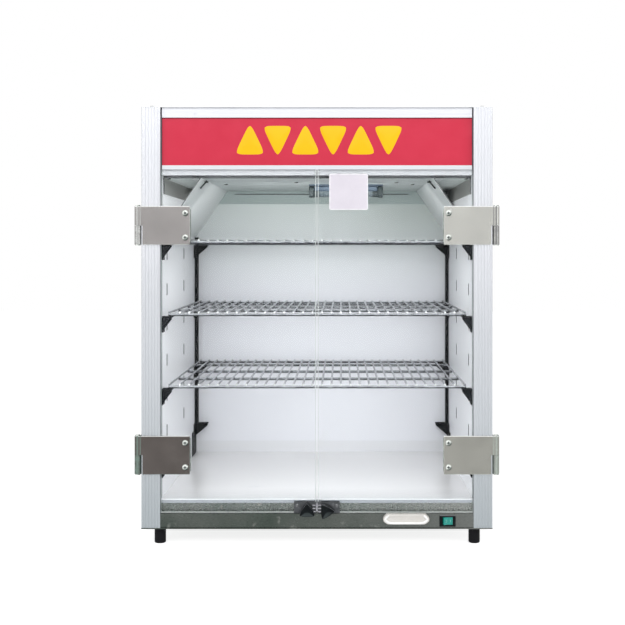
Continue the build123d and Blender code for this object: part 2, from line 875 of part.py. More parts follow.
def make_doors():
    """Both doors from the left one, and the double magnetic catch in the sill."""
    glass, straps, screws = door_parts()
    hinges = [hinge_at(level) for level in hinge_levels]
    clip = make_clip()
    pins = []
    for side, label in ((-1, "left"), (1, "right")):
        turn = (lambda part: part) if side < 0 else other_side
        keep("door_glass_" + label, turn(glass))
        keep("hinge_clamps_" + label, *[turn(part) for part in straps + screws])
        keep("door_clip_" + label, turn(clip))
        for place, (plate, leaf, pin) in zip(("upper", "lower"), hinges):
            keep(f"hinge_plate_{place}_{label}", turn(plate))
            keep(f"hinge_leaf_{place}_{label}", turn(leaf))
            pins.append(turn(pin))
    keep("hinge_pins", *pins)
    keep("knob_left", make_knob(-1, 0))
    keep("knob_right", make_knob(1, right_knob_turn))

    z0 = base_panel_top + sheet
    front = clip_back + catch_gap
    half = catch_width / 2
    body = block((-half, half), (front, front + catch_depth), (z0, z0 + catch_height))
    top = z0 + catch_height
    body -= block((-half, half), (front, sill_setback), (top - catch_step, top))
    groove_x = (-catch_groove_half, catch_groove_half)
    for k in (-1, 0, 1):
        low = z0 + (catch_height - catch_groove_height) / 2 + k * catch_groove_pitch
        groove_z = (low, low + catch_groove_height)
        body -= block(groove_x, (front, front + catch_groove_depth), groove_z)
    keep("magnet_catch", body)


# Rocker switch: the rocker turns about an upright axis inside its housing
def make_switch():
    """Housing with a bezel, a pocket and three terminals, and the rocker with its two faces."""
    z = switch_z
    face = base_panel_setback
    front = face - bezel_thickness
    back = face + switch_body_depth
    bezel = block(
        (switch_x - bezel_width / 2, switch_x + bezel_width / 2),
        (front, face),
        (z - bezel_height / 2, z + bezel_height / 2),
    )
    body_x = bezel_width / 2 - switch_lip - shank_play
    body_z = bezel_height / 2 - switch_lip - shank_play
    body = block((switch_x - body_x, switch_x + body_x), (face, back), (z - body_z, z + body_z))
    pocket_x = rocker_width / 2 + rocker_end_room
    pocket_z = rocker_height / 2 + rocker_side_room
    pocket_x_span = (switch_x - pocket_x, switch_x + pocket_x)
    pocket = block(pocket_x_span, (front, front + rocker_pocket), (z - pocket_z, z + pocket_z))
    housing = fillet(bezel.edges().group_by(Axis.Y)[0], bezel_edge) + body - pocket
    terminal_z = (z - terminal_width / 2, z + terminal_width / 2)
    for k in (-1, 0, 1):
        left = switch_x + k * terminal_pitch - terminal_steel / 2
        housing += block((left, left + terminal_steel), (back, back + terminal_length), terminal_z)
    keep("switch_housing", housing)

    half = rocker_width / 2
    plan = outline(
        [(-half, rocker_shoulder), (0, rocker_ridge), (half, rocker_shoulder),
         (half, -rocker_nose), (0, -rocker_valley), (-half, -rocker_nose)]
    )
    low = z - rocker_height / 2
    rocker = extrude(plan, rocker_height)
    rocker = Pos(switch_x, at_depth(front + rocker_pivot), low) * Rot(0, 0, rocker_tilt) * rocker
    keep("switch_rocker", rocker)


# Water tray that slides out through the base panel
def pull_outline(inset):
    """Boat shaped front of the pull, its foot at height 0, drawn in from its edge by an inset."""
    below = math.atan2(pull_belly, pull_bottom_inset)
    above = math.atan2(pull_height - pull_belly, -pull_top_inset)
    cut_by_corner = pull_corner * (1 / math.cos((above - below) / 2) - 1)
    half = pull_width / 2 + cut_by_corner
    right = [(half - pull_bottom_inset, 0), (half, pull_belly), (half - pull_top_inset, pull_height)]
    left = [(-x, z) for x, z in reversed(right)]
    face = outline(right + left)
    if inset:
        face = offset(face, -inset, kind=Kind.INTERSECTION)
    rows = face.vertices().group_by(Axis.Y)
    face = fillet(rows[0] + rows[1], max(pull_corner - inset, pull_top_corner))
    return fillet(face.vertices().group_by(Axis.Y)[-1], pull_top_corner)


def make_tray():
    """Open tray with its pull, and the guide that it slides in."""
    x0 = tray_x - tray_width / 2
    x1 = tray_x + tray_width / 2
    front = base_panel_setback - tray_clearance
    top = tray_bottom + tray_height
    tray = block((x0, x1), (front, front + tray_length), (tray_bottom, top))
    tray = fillet(tray.edges().filter_by(Axis.Z), tray_corner)
    t = tray_sheet
    inner = block((x0 + t, x1 - t), (front + t, front + tray_length - t), (tray_bottom + t, top))
    tray -= inner
    keep("water_tray", tray)

    bottom = glass_bottom_z - pull_under_glass - pull_height
    shape = Pos(tray_x, bottom) * pull_outline(0)
    pull = along_y(shape, front - pull_depth, front)
    pull = fillet(pull.faces().sort_by(Axis.Y)[0].edges(), pull_edge)
    dish = Pos(tray_x, bottom) * pull_outline(pull_rim)
    pull -= along_y(dish, front - pull_depth, front - pull_depth + pull_dish)
    w = pull_wall
    finger = pull_width / 2 - pull_bottom_inset
    pull -= block(
        (tray_x - finger, tray_x + finger),
        (front - pull_depth + w, front - w),
        (bottom, bottom + pull_height - pull_finger_roof),
    )
    keep("tray_pull", pull)

    gap = tray_clearance
    wall = guide_sheet
    d0 = base_panel_setback + base_panel_flange + sheet
    d1 = front + tray_length + guide_foot
    shelf = tray_bottom - gap
    guide = block((x0 - gap - wall, x1 + gap + wall), (d0, d1), (shelf - wall, shelf))
    for x in (x0 - gap - wall, x1 + gap):
        guide += block((x, x + wall), (d0, d1), (pan_top, top))
    for x in (x0 - gap - guide_foot, x1 + gap):
        guide += block((x, x + guide_foot), (d0, d1), (pan_top, pan_top + wall))
    keep("tray_guide", guide)


# Heating element and its small parts, hung under the cabinet floor
def make_heater():
    """One bent tubular element in four clips, with its terminal block and thermostat."""
    under = floor_top - sheet
    z = under - element_drop
    points = [
        (-element_end, element_rear), (-element_half_width, element_rear),
        (-element_half_width, element_front), (-element_inner_x, element_front),
        (-element_inner_x, element_return), (element_inner_x, element_return),
        (element_inner_x, element_front), (element_half_width, element_front),
        (element_half_width, element_rear), (element_end, element_rear),
    ]
    path = FilletPolyline(*[(x, at_depth(d), z) for x, d in points], radius=element_bend)
    section = Plane(origin=path @ 0, z_dir=path % 0) * Circle(element_radius)
    element = sweep(section, path=path)
    keep("heating_element", element)

    clips = []
    for x in (-element_half_width, -element_inner_x, element_inner_x, element_half_width):
        half = element_clip_width / 2
        depth = (element_clip_depth, element_clip_depth + element_clip_length)
        clip = block((x - half, x + half), depth, (z - element_radius - clip_steel, under))
        clips.append(clip - rod_y(element_radius + pin_clearance, x, z, *depth))
    keep("element_clips", *clips)

    half = element_end
    depth = (element_rear - wire_block_depth / 2, element_rear + wire_block_depth / 2)
    low = z - wire_block_drop
    terminal = block((-half, half), depth, (low, under))
    row = element_rear + wire_hole_offset
    for k in (-1, 0, 1):
        terminal -= rod_z(wire_hole_radius, k * wire_hole_pitch, row, low, low + wire_hole_depth)
    keep("terminal_block", terminal)

    cup = rod_z(thermostat_radius, 0, thermostat_depth, under - thermostat_height, under)
    reach = thermostat_ear_reach
    ear_half = thermostat_ear_width / 2
    ear_depth = (thermostat_depth - ear_half, thermostat_depth + ear_half)
    ears = block((-reach, reach), ear_depth, (under - thermostat_ear_steel, under))
    keep("thermostat", cup + ears)


def make_lamp():
    """Short lamp between two sockets, on a base plate under the ceiling."""
    top = ceiling_under
    half = lamp_length / 2
    inner = half - socket_length
    under = top - lamp_base_height
    base_depth = (lamp_depth - lamp_base_width / 2, lamp_depth + lamp_base_width / 2)
    base = block((lamp_x - half, lamp_x + half), base_depth, (under, top))
    socket_depth = (lamp_depth - socket_width / 2, lamp_depth + socket_width / 2)
    for side in (-1, 1):
        x = sorted((lamp_x + side * half, lamp_x + side * inner))
        socket = block(x, socket_depth, (top - lamp_height, under))
        base += fillet(socket.edges().filter_by(Axis.X).group_by(Axis.Z)[0], socket_width / 4)
    keep("lamp_holder", base)
    centre = Pos(lamp_x, at_depth(lamp_depth), top - lamp_height + tube_radius + tube_rise)
    tube = centre * Rot(0, 90, 0) * Cylinder(tube_radius, 2 * inner)
    keep("lamp_tube", tube)


def make_inlet():
    """Three pole power inlet screwed to the back panel, with its socket open to the rear."""
    centre = Pos(inlet_x, inlet_z)
    rear = back_panel_rear
    flange = chamfer((centre * Rectangle(inlet_width, inlet_height)).vertices(), inlet_corner)
    part = along_y(flange, rear, rear + inlet_thickness)
    shell = centre * Rectangle(inlet_body_width, inlet_body_height)
    part += along_y(shell, rear - inlet_body_depth, rear)
    mouth = centre * Rectangle(inlet_mouth_width, inlet_mouth_height)
    mouth = chamfer(mouth.vertices().group_by(Axis.Y)[-1], inlet_mouth_corner)
    bottom = rear - inlet_mouth_depth
    part -= along_y(mouth, bottom, rear + inlet_thickness)
    for k, rise in ((-1, -inlet_pin_drop), (0, inlet_earth_rise), (1, -inlet_pin_drop)):
        left = inlet_x + k * inlet_pin_pitch - inlet_pin_width / 2
        low = inlet_z + rise - inlet_pin_height / 2
        pin_depth = (bottom, bottom + inlet_pin_length)
        part += block((left, left + inlet_pin_width), pin_depth, (low, low + inlet_pin_height))
    keep("power_inlet", part)


make_posts()
make_header()
roof_screws = make_roof()
make_ceiling()
make_deflectors()
make_liners()
make_skins()
make_base()
base_screws = make_feet()
keep("casing_screws", *roof_screws, *base_screws)
make_shelves()
make_doors()
make_switch()
make_tray()
make_heater()
make_lamp()
make_inlet()

os.makedirs("parts", exist_ok=True)
for name, part in nodes.items():
    export_step(part, f"parts/{name}.step")
print(len(nodes), "nodes, front plane at", round(front_y, 2))
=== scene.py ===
import math

import bmesh
import bpy
import numpy as np
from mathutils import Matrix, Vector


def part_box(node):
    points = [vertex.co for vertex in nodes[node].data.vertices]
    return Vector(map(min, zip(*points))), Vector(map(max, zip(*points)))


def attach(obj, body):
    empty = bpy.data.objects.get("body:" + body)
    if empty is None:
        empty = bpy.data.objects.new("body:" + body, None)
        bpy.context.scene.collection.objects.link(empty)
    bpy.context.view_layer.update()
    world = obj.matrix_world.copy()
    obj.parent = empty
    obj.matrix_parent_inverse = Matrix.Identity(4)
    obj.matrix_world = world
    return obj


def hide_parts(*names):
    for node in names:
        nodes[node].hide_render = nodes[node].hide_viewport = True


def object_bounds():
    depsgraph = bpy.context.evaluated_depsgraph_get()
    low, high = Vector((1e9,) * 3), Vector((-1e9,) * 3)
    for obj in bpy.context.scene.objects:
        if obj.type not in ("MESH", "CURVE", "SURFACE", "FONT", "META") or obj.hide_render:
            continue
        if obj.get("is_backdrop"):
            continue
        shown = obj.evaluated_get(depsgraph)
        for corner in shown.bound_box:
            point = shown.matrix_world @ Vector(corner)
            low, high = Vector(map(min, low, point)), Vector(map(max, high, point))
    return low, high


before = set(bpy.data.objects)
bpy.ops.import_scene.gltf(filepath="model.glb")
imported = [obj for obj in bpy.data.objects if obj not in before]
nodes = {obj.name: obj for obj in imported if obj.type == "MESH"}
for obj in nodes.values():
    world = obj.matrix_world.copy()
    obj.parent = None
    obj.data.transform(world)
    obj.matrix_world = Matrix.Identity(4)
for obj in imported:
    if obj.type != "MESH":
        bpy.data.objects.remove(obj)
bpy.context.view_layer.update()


# The camera stands level 1.64 m in front of the cabinet, right of its middle and as high as
# the top shelf, and its lens is shifted so that the posts stay upright. Depths are measured
# from front, the plane of the posts' faces.
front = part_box("post_front_left")[0].y
camera_distance = 1.64
camera_side = 0.035
camera_height = 0.4055
frame_width = 0.857
lens_shift = (-0.0479, -0.1003)
sensor = 36.0
camera = bpy.data.objects.new("camera", bpy.data.cameras.new("camera"))
camera.location = (camera_side, front - camera_distance, camera_height)
camera.rotation_euler = (math.radians(90), 0, 0)
camera.data.sensor_width = sensor
camera.data.lens = sensor * camera_distance / frame_width
camera.data.shift_x, camera.data.shift_y = lens_shift
camera.data.clip_start = 0.05
bpy.context.collection.objects.link(camera)
bpy.context.scene.camera = camera
bpy.context.scene.view_settings.view_transform = "Standard"


# White room: the world and the floor are white wherever a camera, a mirror or glass sees
# them. Large soft lamps light the cabinet plainly from the front, and small ones inside it
# stand for the light that its own pale walls pass on.
def add(tree, kind, inputs, **settings):
    """A shader node with its settings, and each input given a value or joined to a socket."""
    made = tree.nodes.new("ShaderNode" + kind)
    for name, value in settings.items():
        setattr(made, name, value)
    for key, value in inputs.items():
        if isinstance(value, bpy.types.NodeSocket):
            tree.links.new(value, made.inputs[key])
        else:
            made.inputs[key].default_value = value
    return made


def strength_by_ray(tree, soft, seen):
    """A light strength: seen for a camera, a gloss or glass, and soft for diffuse light."""
    path = add(tree, "LightPath", {})
    shows = path.outputs["Is Camera Ray"]
    for ray in ("Is Glossy Ray", "Is Transmission Ray"):
        shows = add(tree, "Math", {0: shows, 1: path.outputs[ray]}, operation="MAXIMUM").outputs[0]
    return add(tree, "MapRange", {"Value": shows, "To Min": soft, "To Max": seen}).outputs[0]


world = bpy.data.worlds.new("white_room")
bpy.context.scene.world = world
world.use_nodes = True
background = world.node_tree.nodes["Background"]
background.inputs["Color"].default_value = (1, 1, 1, 1)
room_soft = 0.45
world.node_tree.links.new(
    strength_by_ray(world.node_tree, room_soft, 1.0), background.inputs["Strength"]
)

floor_half = 6.0
floor_grey = 0.60
floor_seen = 0.80
floor_mesh = bpy.data.meshes.new("floor")
floor_mesh.from_pydata(
    [(-floor_half, -floor_half, 0), (floor_half, -floor_half, 0),
     (floor_half, floor_half, 0), (-floor_half, floor_half, 0)],
    [], [(0, 1, 2, 3)],
)
floor = bpy.data.objects.new("floor", floor_mesh)
bpy.context.collection.objects.link(floor)
floor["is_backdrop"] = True
floor_paint = bpy.data.materials.new("floor_paint")
floor_paint.use_nodes = True
floor_shader = floor_paint.node_tree.nodes["Principled BSDF"]
floor_shader.inputs["Base Color"].default_value = (floor_grey, floor_grey, floor_grey, 1)
floor_shader.inputs["Roughness"].default_value = 0.9
floor_shader.inputs["Emission Color"].default_value = (1, 1, 1, 1)
floor_paint.node_tree.links.new(
    strength_by_ray(floor_paint.node_tree, 0.0, floor_seen),
    floor_shader.inputs["Emission Strength"],
)
floor_mesh.materials.append(floor_paint)


def soft_box(name, place, width, height, power, mirrored=True, aim_at=(0, 0, 0.3)):
    """A rectangular lamp aimed at a point, the middle of the cabinet unless it is given."""
    lamp = bpy.data.lights.new(name, "AREA")
    lamp.shape = "RECTANGLE"
    lamp.energy = power
    lamp.size = width
    lamp.size_y = height
    holder = bpy.data.objects.new(name, lamp)
    holder.location = place
    aim = np.array(place) - np.array(aim_at)
    flat = math.hypot(aim[0], aim[1])
    holder.rotation_euler = (math.atan2(flat, aim[2]), 0, math.atan2(aim[0], -aim[1]))
    holder.visible_camera = False
    holder.visible_glossy = mirrored
    bpy.context.collection.objects.link(holder)


soft_box("front_lamp", (-0.1, -2.6, 1.5), 2.6, 1.1, 27)
soft_box("low_lamp", (0.0, -2.7, 0.3), 3.8, 0.6, 18, mirrored=False)
soft_box("left_lamp", (-2.0, -1.6, 0.9), 1.2, 1.2, 8)
soft_box("right_lamp", (2.0, -1.6, 0.9), 1.2, 1.2, 12)
soft_box("inside_lamp", (0.0, -0.12, 0.470), 0.25, 0.12, 0.56, mirrored=False)
for side in (-1, 1):
    soft_box(f"duct_lamp_{side}", (side * 0.1905, -0.06, 0.4680), 0.26, 0.01, 0.028,
             mirrored=False, aim_at=(side * 0.2125, -0.06, 0.4832))
soft_box("top_lamp", (0.0, -0.9, 2.3), 1.4, 1.4, 9)


# Corner posts: one hollow aluminium extrusion at all four corners, satin anodised, with the
# die's fine lines running up it.
def lay_over(material, amount, tone):
    """Mix a tone over a finish's colour by an amount from 0 to 1."""
    tree = material.node_tree
    colour = tree.nodes["Principled BSDF"].inputs["Base Color"]
    under = colour.links[0].from_socket
    mixed = add(tree, "Mix", {0: amount, 6: under, 7: (*tone, 1)}, data_type="RGBA")
    tree.links.new(mixed.outputs[2], colour)


def patches(material, scale, start, rise=0.08, strength=0.8):
    """0 to a strength where a noise of a scale per metre rises past a level: stains and rubs."""
    tree = material.node_tree
    place = add(tree, "TexCoord", {}).outputs["Object"]
    noise = add(tree, "TexNoise", {"Vector": place, "Scale": scale, "Detail": 6.0}).outputs["Fac"]
    return add(tree, "MapRange", {
        "Value": noise, "From Min": start, "From Max": start + rise, "To Max": strength,
    }).outputs[0]


def fading(material, axis, start, end, most=1.0):
    """0 to most along an axis of the object, from a start to an end in metres."""
    tree = material.node_tree
    place = add(tree, "TexCoord", {}).outputs["Object"]
    part = add(tree, "SeparateXYZ", {0: place}).outputs[axis]
    return add(tree, "MapRange", {
        "Value": part, "From Min": start, "From Max": end, "To Max": most}).outputs[0]


def finish(name, tones, grain, mottle=9.0, roughness=(0.3, 0.45), relief=2e-5, worn=None, **fixed):
    """A finish made of a fine grain and a broad mottle, both read in Object coordinates.

    tones are the darkest and lightest colour, and grain the marks per metre: one number, or
    one each along X, Y and Z. The two patterns added together pick the tone; the grain alone
    sets the roughness and raises the surface by relief metres. worn lays spots of another
    tone over it: their scale per metre, the noise level that they start at, and their tone.
    """
    material = bpy.data.materials.new(name)
    material.use_nodes = True
    tree = material.node_tree
    shader = tree.nodes["Principled BSDF"]
    for socket, value in fixed.items():
        shader.inputs[socket.replace("_", " ")].default_value = value
    place = add(tree, "TexCoord", {}).outputs["Object"]
    grain = tuple(np.broadcast_to(grain, 3))
    drawn = add(tree, "Mapping", {"Vector": place, "Scale": grain}).outputs["Vector"]
    fine = add(tree, "TexNoise", {"Vector": drawn, "Scale": 1.0, "Detail": 3.0}).outputs["Fac"]
    broad = add(tree, "TexNoise", {"Vector": place, "Scale": mottle, "Detail": 4.0}).outputs["Fac"]
    added = add(tree, "Math", {0: fine, 1: 0.4, 2: broad}, operation="MULTIPLY_ADD").outputs[0]
    ramp = add(tree, "ValToRGB", {"Fac": added})
    for stop, where, tone in zip(ramp.color_ramp.elements, (0.45, 0.95), tones):
        stop.position = where
        stop.color = (*tone, 1)
    tree.links.new(ramp.outputs["Color"], shader.inputs["Base Color"])
    spread = add(tree, "MapRange", {"Value": fine, "From Min": 0.3, "From Max": 0.7,
                                    "To Min": roughness[0], "To Max": roughness[1]}).outputs[0]
    tree.links.new(spread, shader.inputs["Roughness"])
    bump = add(tree, "Bump", {"Height": fine, "Distance": relief}).outputs["Normal"]
    tree.links.new(bump, shader.inputs["Normal"])
    if worn:
        scale, level, tone = worn
        lay_over(material, patches(material, scale, level), tone)
    return material


def give(material, *names):
    """Put a material on CAD nodes."""
    for name in names:
        nodes[name].data.materials.clear()
        nodes[name].data.materials.append(material)


def anodised(name, lines):
    """Satin anodised aluminium, its fine lines along the axis with few marks per metre."""
    return finish(
        name, ((0.52, 0.535, 0.565), (0.60, 0.61, 0.645)), lines, 3.0, (0.26, 0.34), 2e-6,
        worn=(55, 0.70, (0.40, 0.41, 0.44)), Metallic=0.45,
    )


anodised_up = anodised("anodised_up", (700, 700, 0.8))
# Painted shade: the posts are painted darker towards their foot, for the darker room they reflect low
# down.
lay_over(anodised_up, fading(anodised_up, "Z", 0.40, 0.0), (0.32, 0.355, 0.375))
give(anodised_up, "post_front_left", "post_front_right", "post_rear_left", "post_rear_right")


# Header: two hollow rails of the same aluminium between the front posts, with a red acrylic sheet
# slid into their grooves. The lower rail is painted darker below the top of the doors' glass, a
# painted shade for the glass in front of it.
lines_across = (0.8, 700, 700)
give(anodised("anodised_across", lines_across), "header_top_rail")
anodised_glass_shaded = anodised("anodised_glass_shaded", lines_across)
door_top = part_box("door_glass_left")[1].z
behind_glass = fading(anodised_glass_shaded, "Z", door_top + 0.0002, door_top - 0.0004)
lay_over(anodised_glass_shaded, behind_glass, (0.35, 0.355, 0.375))
give(anodised_glass_shaded, "header_bottom_rail")
sign_acrylic = finish(
    "sign_acrylic", ((0.52, 0.020, 0.050), (0.58, 0.030, 0.066)), 40, 3.0,
    (0.10, 0.16), 2e-6, Specular_IOR_Level=0.3,
)
sign_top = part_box("header_top_rail")[0].z
# Painted shadow: the sign is painted dark red in a strip just under the top rail, for the shadow the
# rail casts on it.
rail_shadow = fading(sign_acrylic, "Z", sign_top - 0.0022, sign_top - 0.0006)
lay_over(sign_acrylic, rail_shadow, (0.20, 0.008, 0.020))
give(sign_acrylic, "sign_panel")


# Joint seals: strips of black rubber pressed into the narrow gaps between the header and the
# front posts. Each is as high as the header and rounded at its ends.
def merged(mesh):
    """Join the points that meet at seams and poles."""
    work = bmesh.new()
    work.from_mesh(mesh)
    bmesh.ops.remove_doubles(work, verts=work.verts, dist=1e-7)
    work.to_mesh(mesh)
    work.free()


def new_piece(name, grids, material, body):
    """A mesh of closed forms, each a grid of rings (ring, point, xyz) joined point to point.

    Each ring closes on itself, and the first and last rings are shrunk to a point. The volume
    under a grid's faces, summed as a triple product of corners, is positive when they point
    outwards, so a grid with a negative one has its rings turned the other way.
    """
    points = []
    faces = []
    start = 0
    for grid in grids:
        rings, around = grid.shape[:2]
        following = np.roll(grid, -1, axis=1)
        a, b, c, d = grid[:-1], following[:-1], following[1:], grid[1:]
        volume = np.sum(np.cross(a, b) * c) + np.sum(np.cross(a, c) * d)
        if volume < 0:
            grid = grid[::-1]
        index = start + np.arange(rings * around).reshape(rings, around)
        across = np.roll(index, -1, axis=1)
        quads = np.stack([index[:-1], across[:-1], across[1:], index[1:]], axis=-1)
        points.append(grid.reshape(-1, 3))
        faces.append(quads.reshape(-1, 4))
        start += rings * around
    mesh = bpy.data.meshes.new(name)
    mesh.from_pydata(np.concatenate(points).tolist(), [], np.concatenate(faces).tolist())
    merged(mesh)
    mesh.materials.append(material)
    mesh.polygons.foreach_set("use_smooth", [True] * len(mesh.polygons))
    mesh.set_sharp_from_angle(angle=math.radians(35))
    piece = bpy.data.objects.new(name, mesh)
    bpy.context.collection.objects.link(piece)
    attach(piece, body)
    return piece


def stacked(outline, centre, steps):
    """Rings of one outline: each step is its scale and its distance along the third axis.

    outline is (point, 2) in X and Z about centre, and the third axis is Y.
    """
    rings = [
        np.stack([centre[0] + outline[:, 0] * scale, np.full(len(outline), centre[1] + along),
                  centre[2] + outline[:, 1] * scale], axis=1)
        for scale, along in steps
    ]
    return np.array(rings)


def rounded_outline(half_x, half_z, radius, count=8):
    """Points round a rectangle: corner centre + radius * (cos, sin), a quarter turn each."""
    turn = np.linspace(0, math.pi / 2, count)
    corners = [(1, 1), (-1, 1), (-1, -1), (1, -1)]
    arcs = []
    for k, (side_x, side_z) in enumerate(corners):
        angle = turn + k * math.pi / 2
        arcs.append(np.stack([side_x * (half_x - radius) + radius * np.cos(angle),
                              side_z * (half_z - radius) + radius * np.sin(angle)], axis=1))
    return np.concatenate(arcs)


def plate(half_x, half_z, radius, centre, thickness, bevel):
    """A flat plate with rounded corners and a small bevel round both of its faces."""
    outer = rounded_outline(half_x, half_z, radius)
    inner = rounded_outline(half_x - bevel, half_z - bevel, max(radius - bevel, radius / 2))
    x, y, z = centre
    rings = []
    for outline, along in ((inner * 0, 0), (inner, 0), (outer, bevel),
                           (outer, thickness - bevel), (inner, thickness), (inner * 0, thickness)):
        rings.append(np.stack([x + outline[:, 0], np.full(len(outline), y + along),
                               z + outline[:, 1]], axis=1))
    return np.array(rings)


rail_low, rail_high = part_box("header_top_rail")
header_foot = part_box("header_bottom_rail")[0].z
seal_half = (0.0008, (rail_high.z - header_foot) / 2 - 0.0004)
seal_gap = 0.0001
seal_thick = 0.0012
seal_bevel = 0.0002
joint_seal = finish(
    "joint_seal", ((0.035, 0.036, 0.045), (0.075, 0.076, 0.090)), (300, 300, 60), 40.0,
    (0.5, 0.7), 2e-5,
)
seal_x = rail_high.x - seal_half[0] - seal_gap
new_piece(
    "header_joint_seals",
    [plate(*seal_half, seal_half[0] / 2,
           (side * seal_x, rail_low.y + seal_bevel, (rail_high.z + header_foot) / 2),
           seal_thick, seal_bevel)
     for side in (-1, 1)],
    joint_seal, "cabinet",
)


# Motif on the sign: six rounded yellow triangles cut from vinyl film and stuck on its face,
# by turns with a point upwards and a point downwards.
film = 0.0002
motif_count = 6
motif_reach = 0.0245
motif_roundness = 9
motif_x = (-0.1115, 0.1175)
motif_z = (0.5368, 0.5762)
motif_yellow = finish(
    "motif_yellow", ((0.84, 0.44, 0.001), (0.90, 0.50, 0.003)), 60, 5.0,
    (0.30, 0.42), 5e-6, Specular_IOR_Level=0.2,
)


def rounded_triangle(reach, roundness, turn, count=72):
    """Radius where a triangle's and a circle's radii meet as (t^-p + c^-p)^(-1/p)."""
    angle = np.linspace(0, 2 * math.pi, count, endpoint=False)
    third = 2 * math.pi / 3
    side = reach / 2 / np.cos((angle + math.pi / 6) % third - third / 2)
    circle = reach * 0.86
    radius = (side**-roundness + circle**-roundness) ** (-1 / roundness)
    angle = angle + turn
    return np.stack([radius * np.cos(angle), radius * np.sin(angle)], axis=1)


sign_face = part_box("sign_panel")[0].y
motif_pitch = (motif_x[1] - motif_x[0]) / motif_count
motif_grids = []
for k in range(motif_count):
    chip = rounded_triangle(motif_reach, motif_roundness, math.pi * (k % 2))
    chip[:, 1] *= (motif_z[1] - motif_z[0]) / np.ptp(chip[:, 1])
    chip[:, 1] -= (chip[:, 1].max() + chip[:, 1].min()) / 2
    centre = (motif_x[0] + (k + 0.5) * motif_pitch, sign_face, sum(motif_z) / 2)
    steps = [(0, -film), (0.98, -film), (1, -film * 0.6), (1, 0), (0, 0)]
    motif_grids.append(stacked(chip, centre, steps))
new_piece("sign_motif", motif_grids, motif_yellow, "cabinet")


# Roof, side and back skins: thin brushed stainless sheets held in the posts' grooves, the
# roof screwed down on top.
skin_tones = ((0.50, 0.51, 0.52), (0.66, 0.67, 0.68))
skin_steel = finish(
    "skin_steel", skin_tones, (900, 12, 900), 5.0, (0.28, 0.44), 1.5e-5, Metallic=0.85
)
give(skin_steel, "roof_panel", "side_panel_left", "side_panel_right", "back_panel")


# Casing screws: pan heads plated in grey zinc, twelve down through the roof and four up
# through the base pan into the ports of the posts. A head is its radius, its height and the
# reach of its cross.
def leaning(material, direction, start, end):
    """0 to 1 as the surface turns towards a direction, from one cosine to another."""
    tree = material.node_tree
    normal = add(tree, "TexCoord", {}).outputs["Normal"]
    cosine = add(tree, "VectorMath", {0: normal, 1: direction}, operation="DOT_PRODUCT")
    return add(tree, "MapRange", {
        "Value": cosine.outputs["Value"], "From Min": start, "From Max": end}).outputs[0]


screw_zinc = finish(
    "screw_zinc", ((0.40, 0.43, 0.40), (0.88, 0.92, 0.88)), 300, 330.0,
    (0.12, 0.24), 2e-6, Metallic=0.35,
)
# Painted shade: the zinc is painted near black where a head's surface turns down and to the right,
# away from the lamps.
screw_shade = leaning(screw_zinc, (0.50, -0.25, -0.83), 0.25, 0.60)
lay_over(screw_zinc, screw_shade, (0.030, 0.048, 0.038))
screw_grey = finish(
    "screw_grey", ((0.10, 0.105, 0.11), (0.26, 0.27, 0.28)), 300, 200.0,
    (0.16, 0.28), 2e-6, Metallic=0.7,
)


def pan_head(place, out, radius, height, arm):
    """A domed screw head with a cross recess, facing out along Y or Z.

    Height over the seat is height * (1 - (r / radius)^3)^0.5, less the recess, which is
    deepest where a point is near either arm of the cross and fades beyond its end.
    """
    out = np.array(out, float)
    right = np.array((1.0, 0, 0))
    up = np.abs(out[[0, 2, 1]])
    around = np.linspace(0, 2 * math.pi, 56, endpoint=False)
    share = np.concatenate([np.linspace(0, 0.9, 16), np.linspace(0.93, 1, 5)])[:, None]
    x = share * radius * np.cos(around)
    z = share * radius * np.sin(around)
    dome = height * np.sqrt(np.clip(1 - share**3, 0, 1)) * np.ones_like(x)
    narrow = np.minimum(np.abs(x), np.abs(z))
    far = np.maximum(np.abs(x), np.abs(z))
    sink = np.clip(1.5 - narrow / (arm * 0.22), 0, 1) * np.clip((arm - far) / (arm * 0.35), 0, 1)
    tall = dome - height * 0.85 * sink
    grid = np.array(place) + x[..., None] * right + z[..., None] * up + tall[..., None] * out
    seat = np.broadcast_to(np.array(place, float), (1, len(around), 3))
    return np.concatenate([grid, seat])


def turned(start, direction, steps, sides=32):
    """A form turned about a line: a circle of each step's radius at its reach along the line."""
    along = np.array(direction, float)
    along /= np.linalg.norm(along)
    across = np.cross(along, (0, 0, 1) if abs(along[2]) < 0.9 else (1, 0, 0))
    across /= np.linalg.norm(across)
    angle = np.linspace(0, 2 * math.pi, sides, endpoint=False)[:, None]
    circle = np.cos(angle) * across + np.sin(angle) * np.cross(along, across)
    radius, reach = np.array(steps).T
    return np.array(start) + reach[:, None, None] * along + radius[:, None, None] * circle


def rod(start, end, radius, sides=12, bevel=0.15):
    """A straight round bar with bevelled ends."""
    direction = np.array(end, float) - np.array(start, float)
    length = np.linalg.norm(direction)
    bevelled = radius * bevel
    steps = [(0, 0), (radius - bevelled, 0), (radius, bevelled), (radius, length - bevelled),
             (radius - bevelled, length), (0, length)]
    return turned(start, direction, steps, sides)


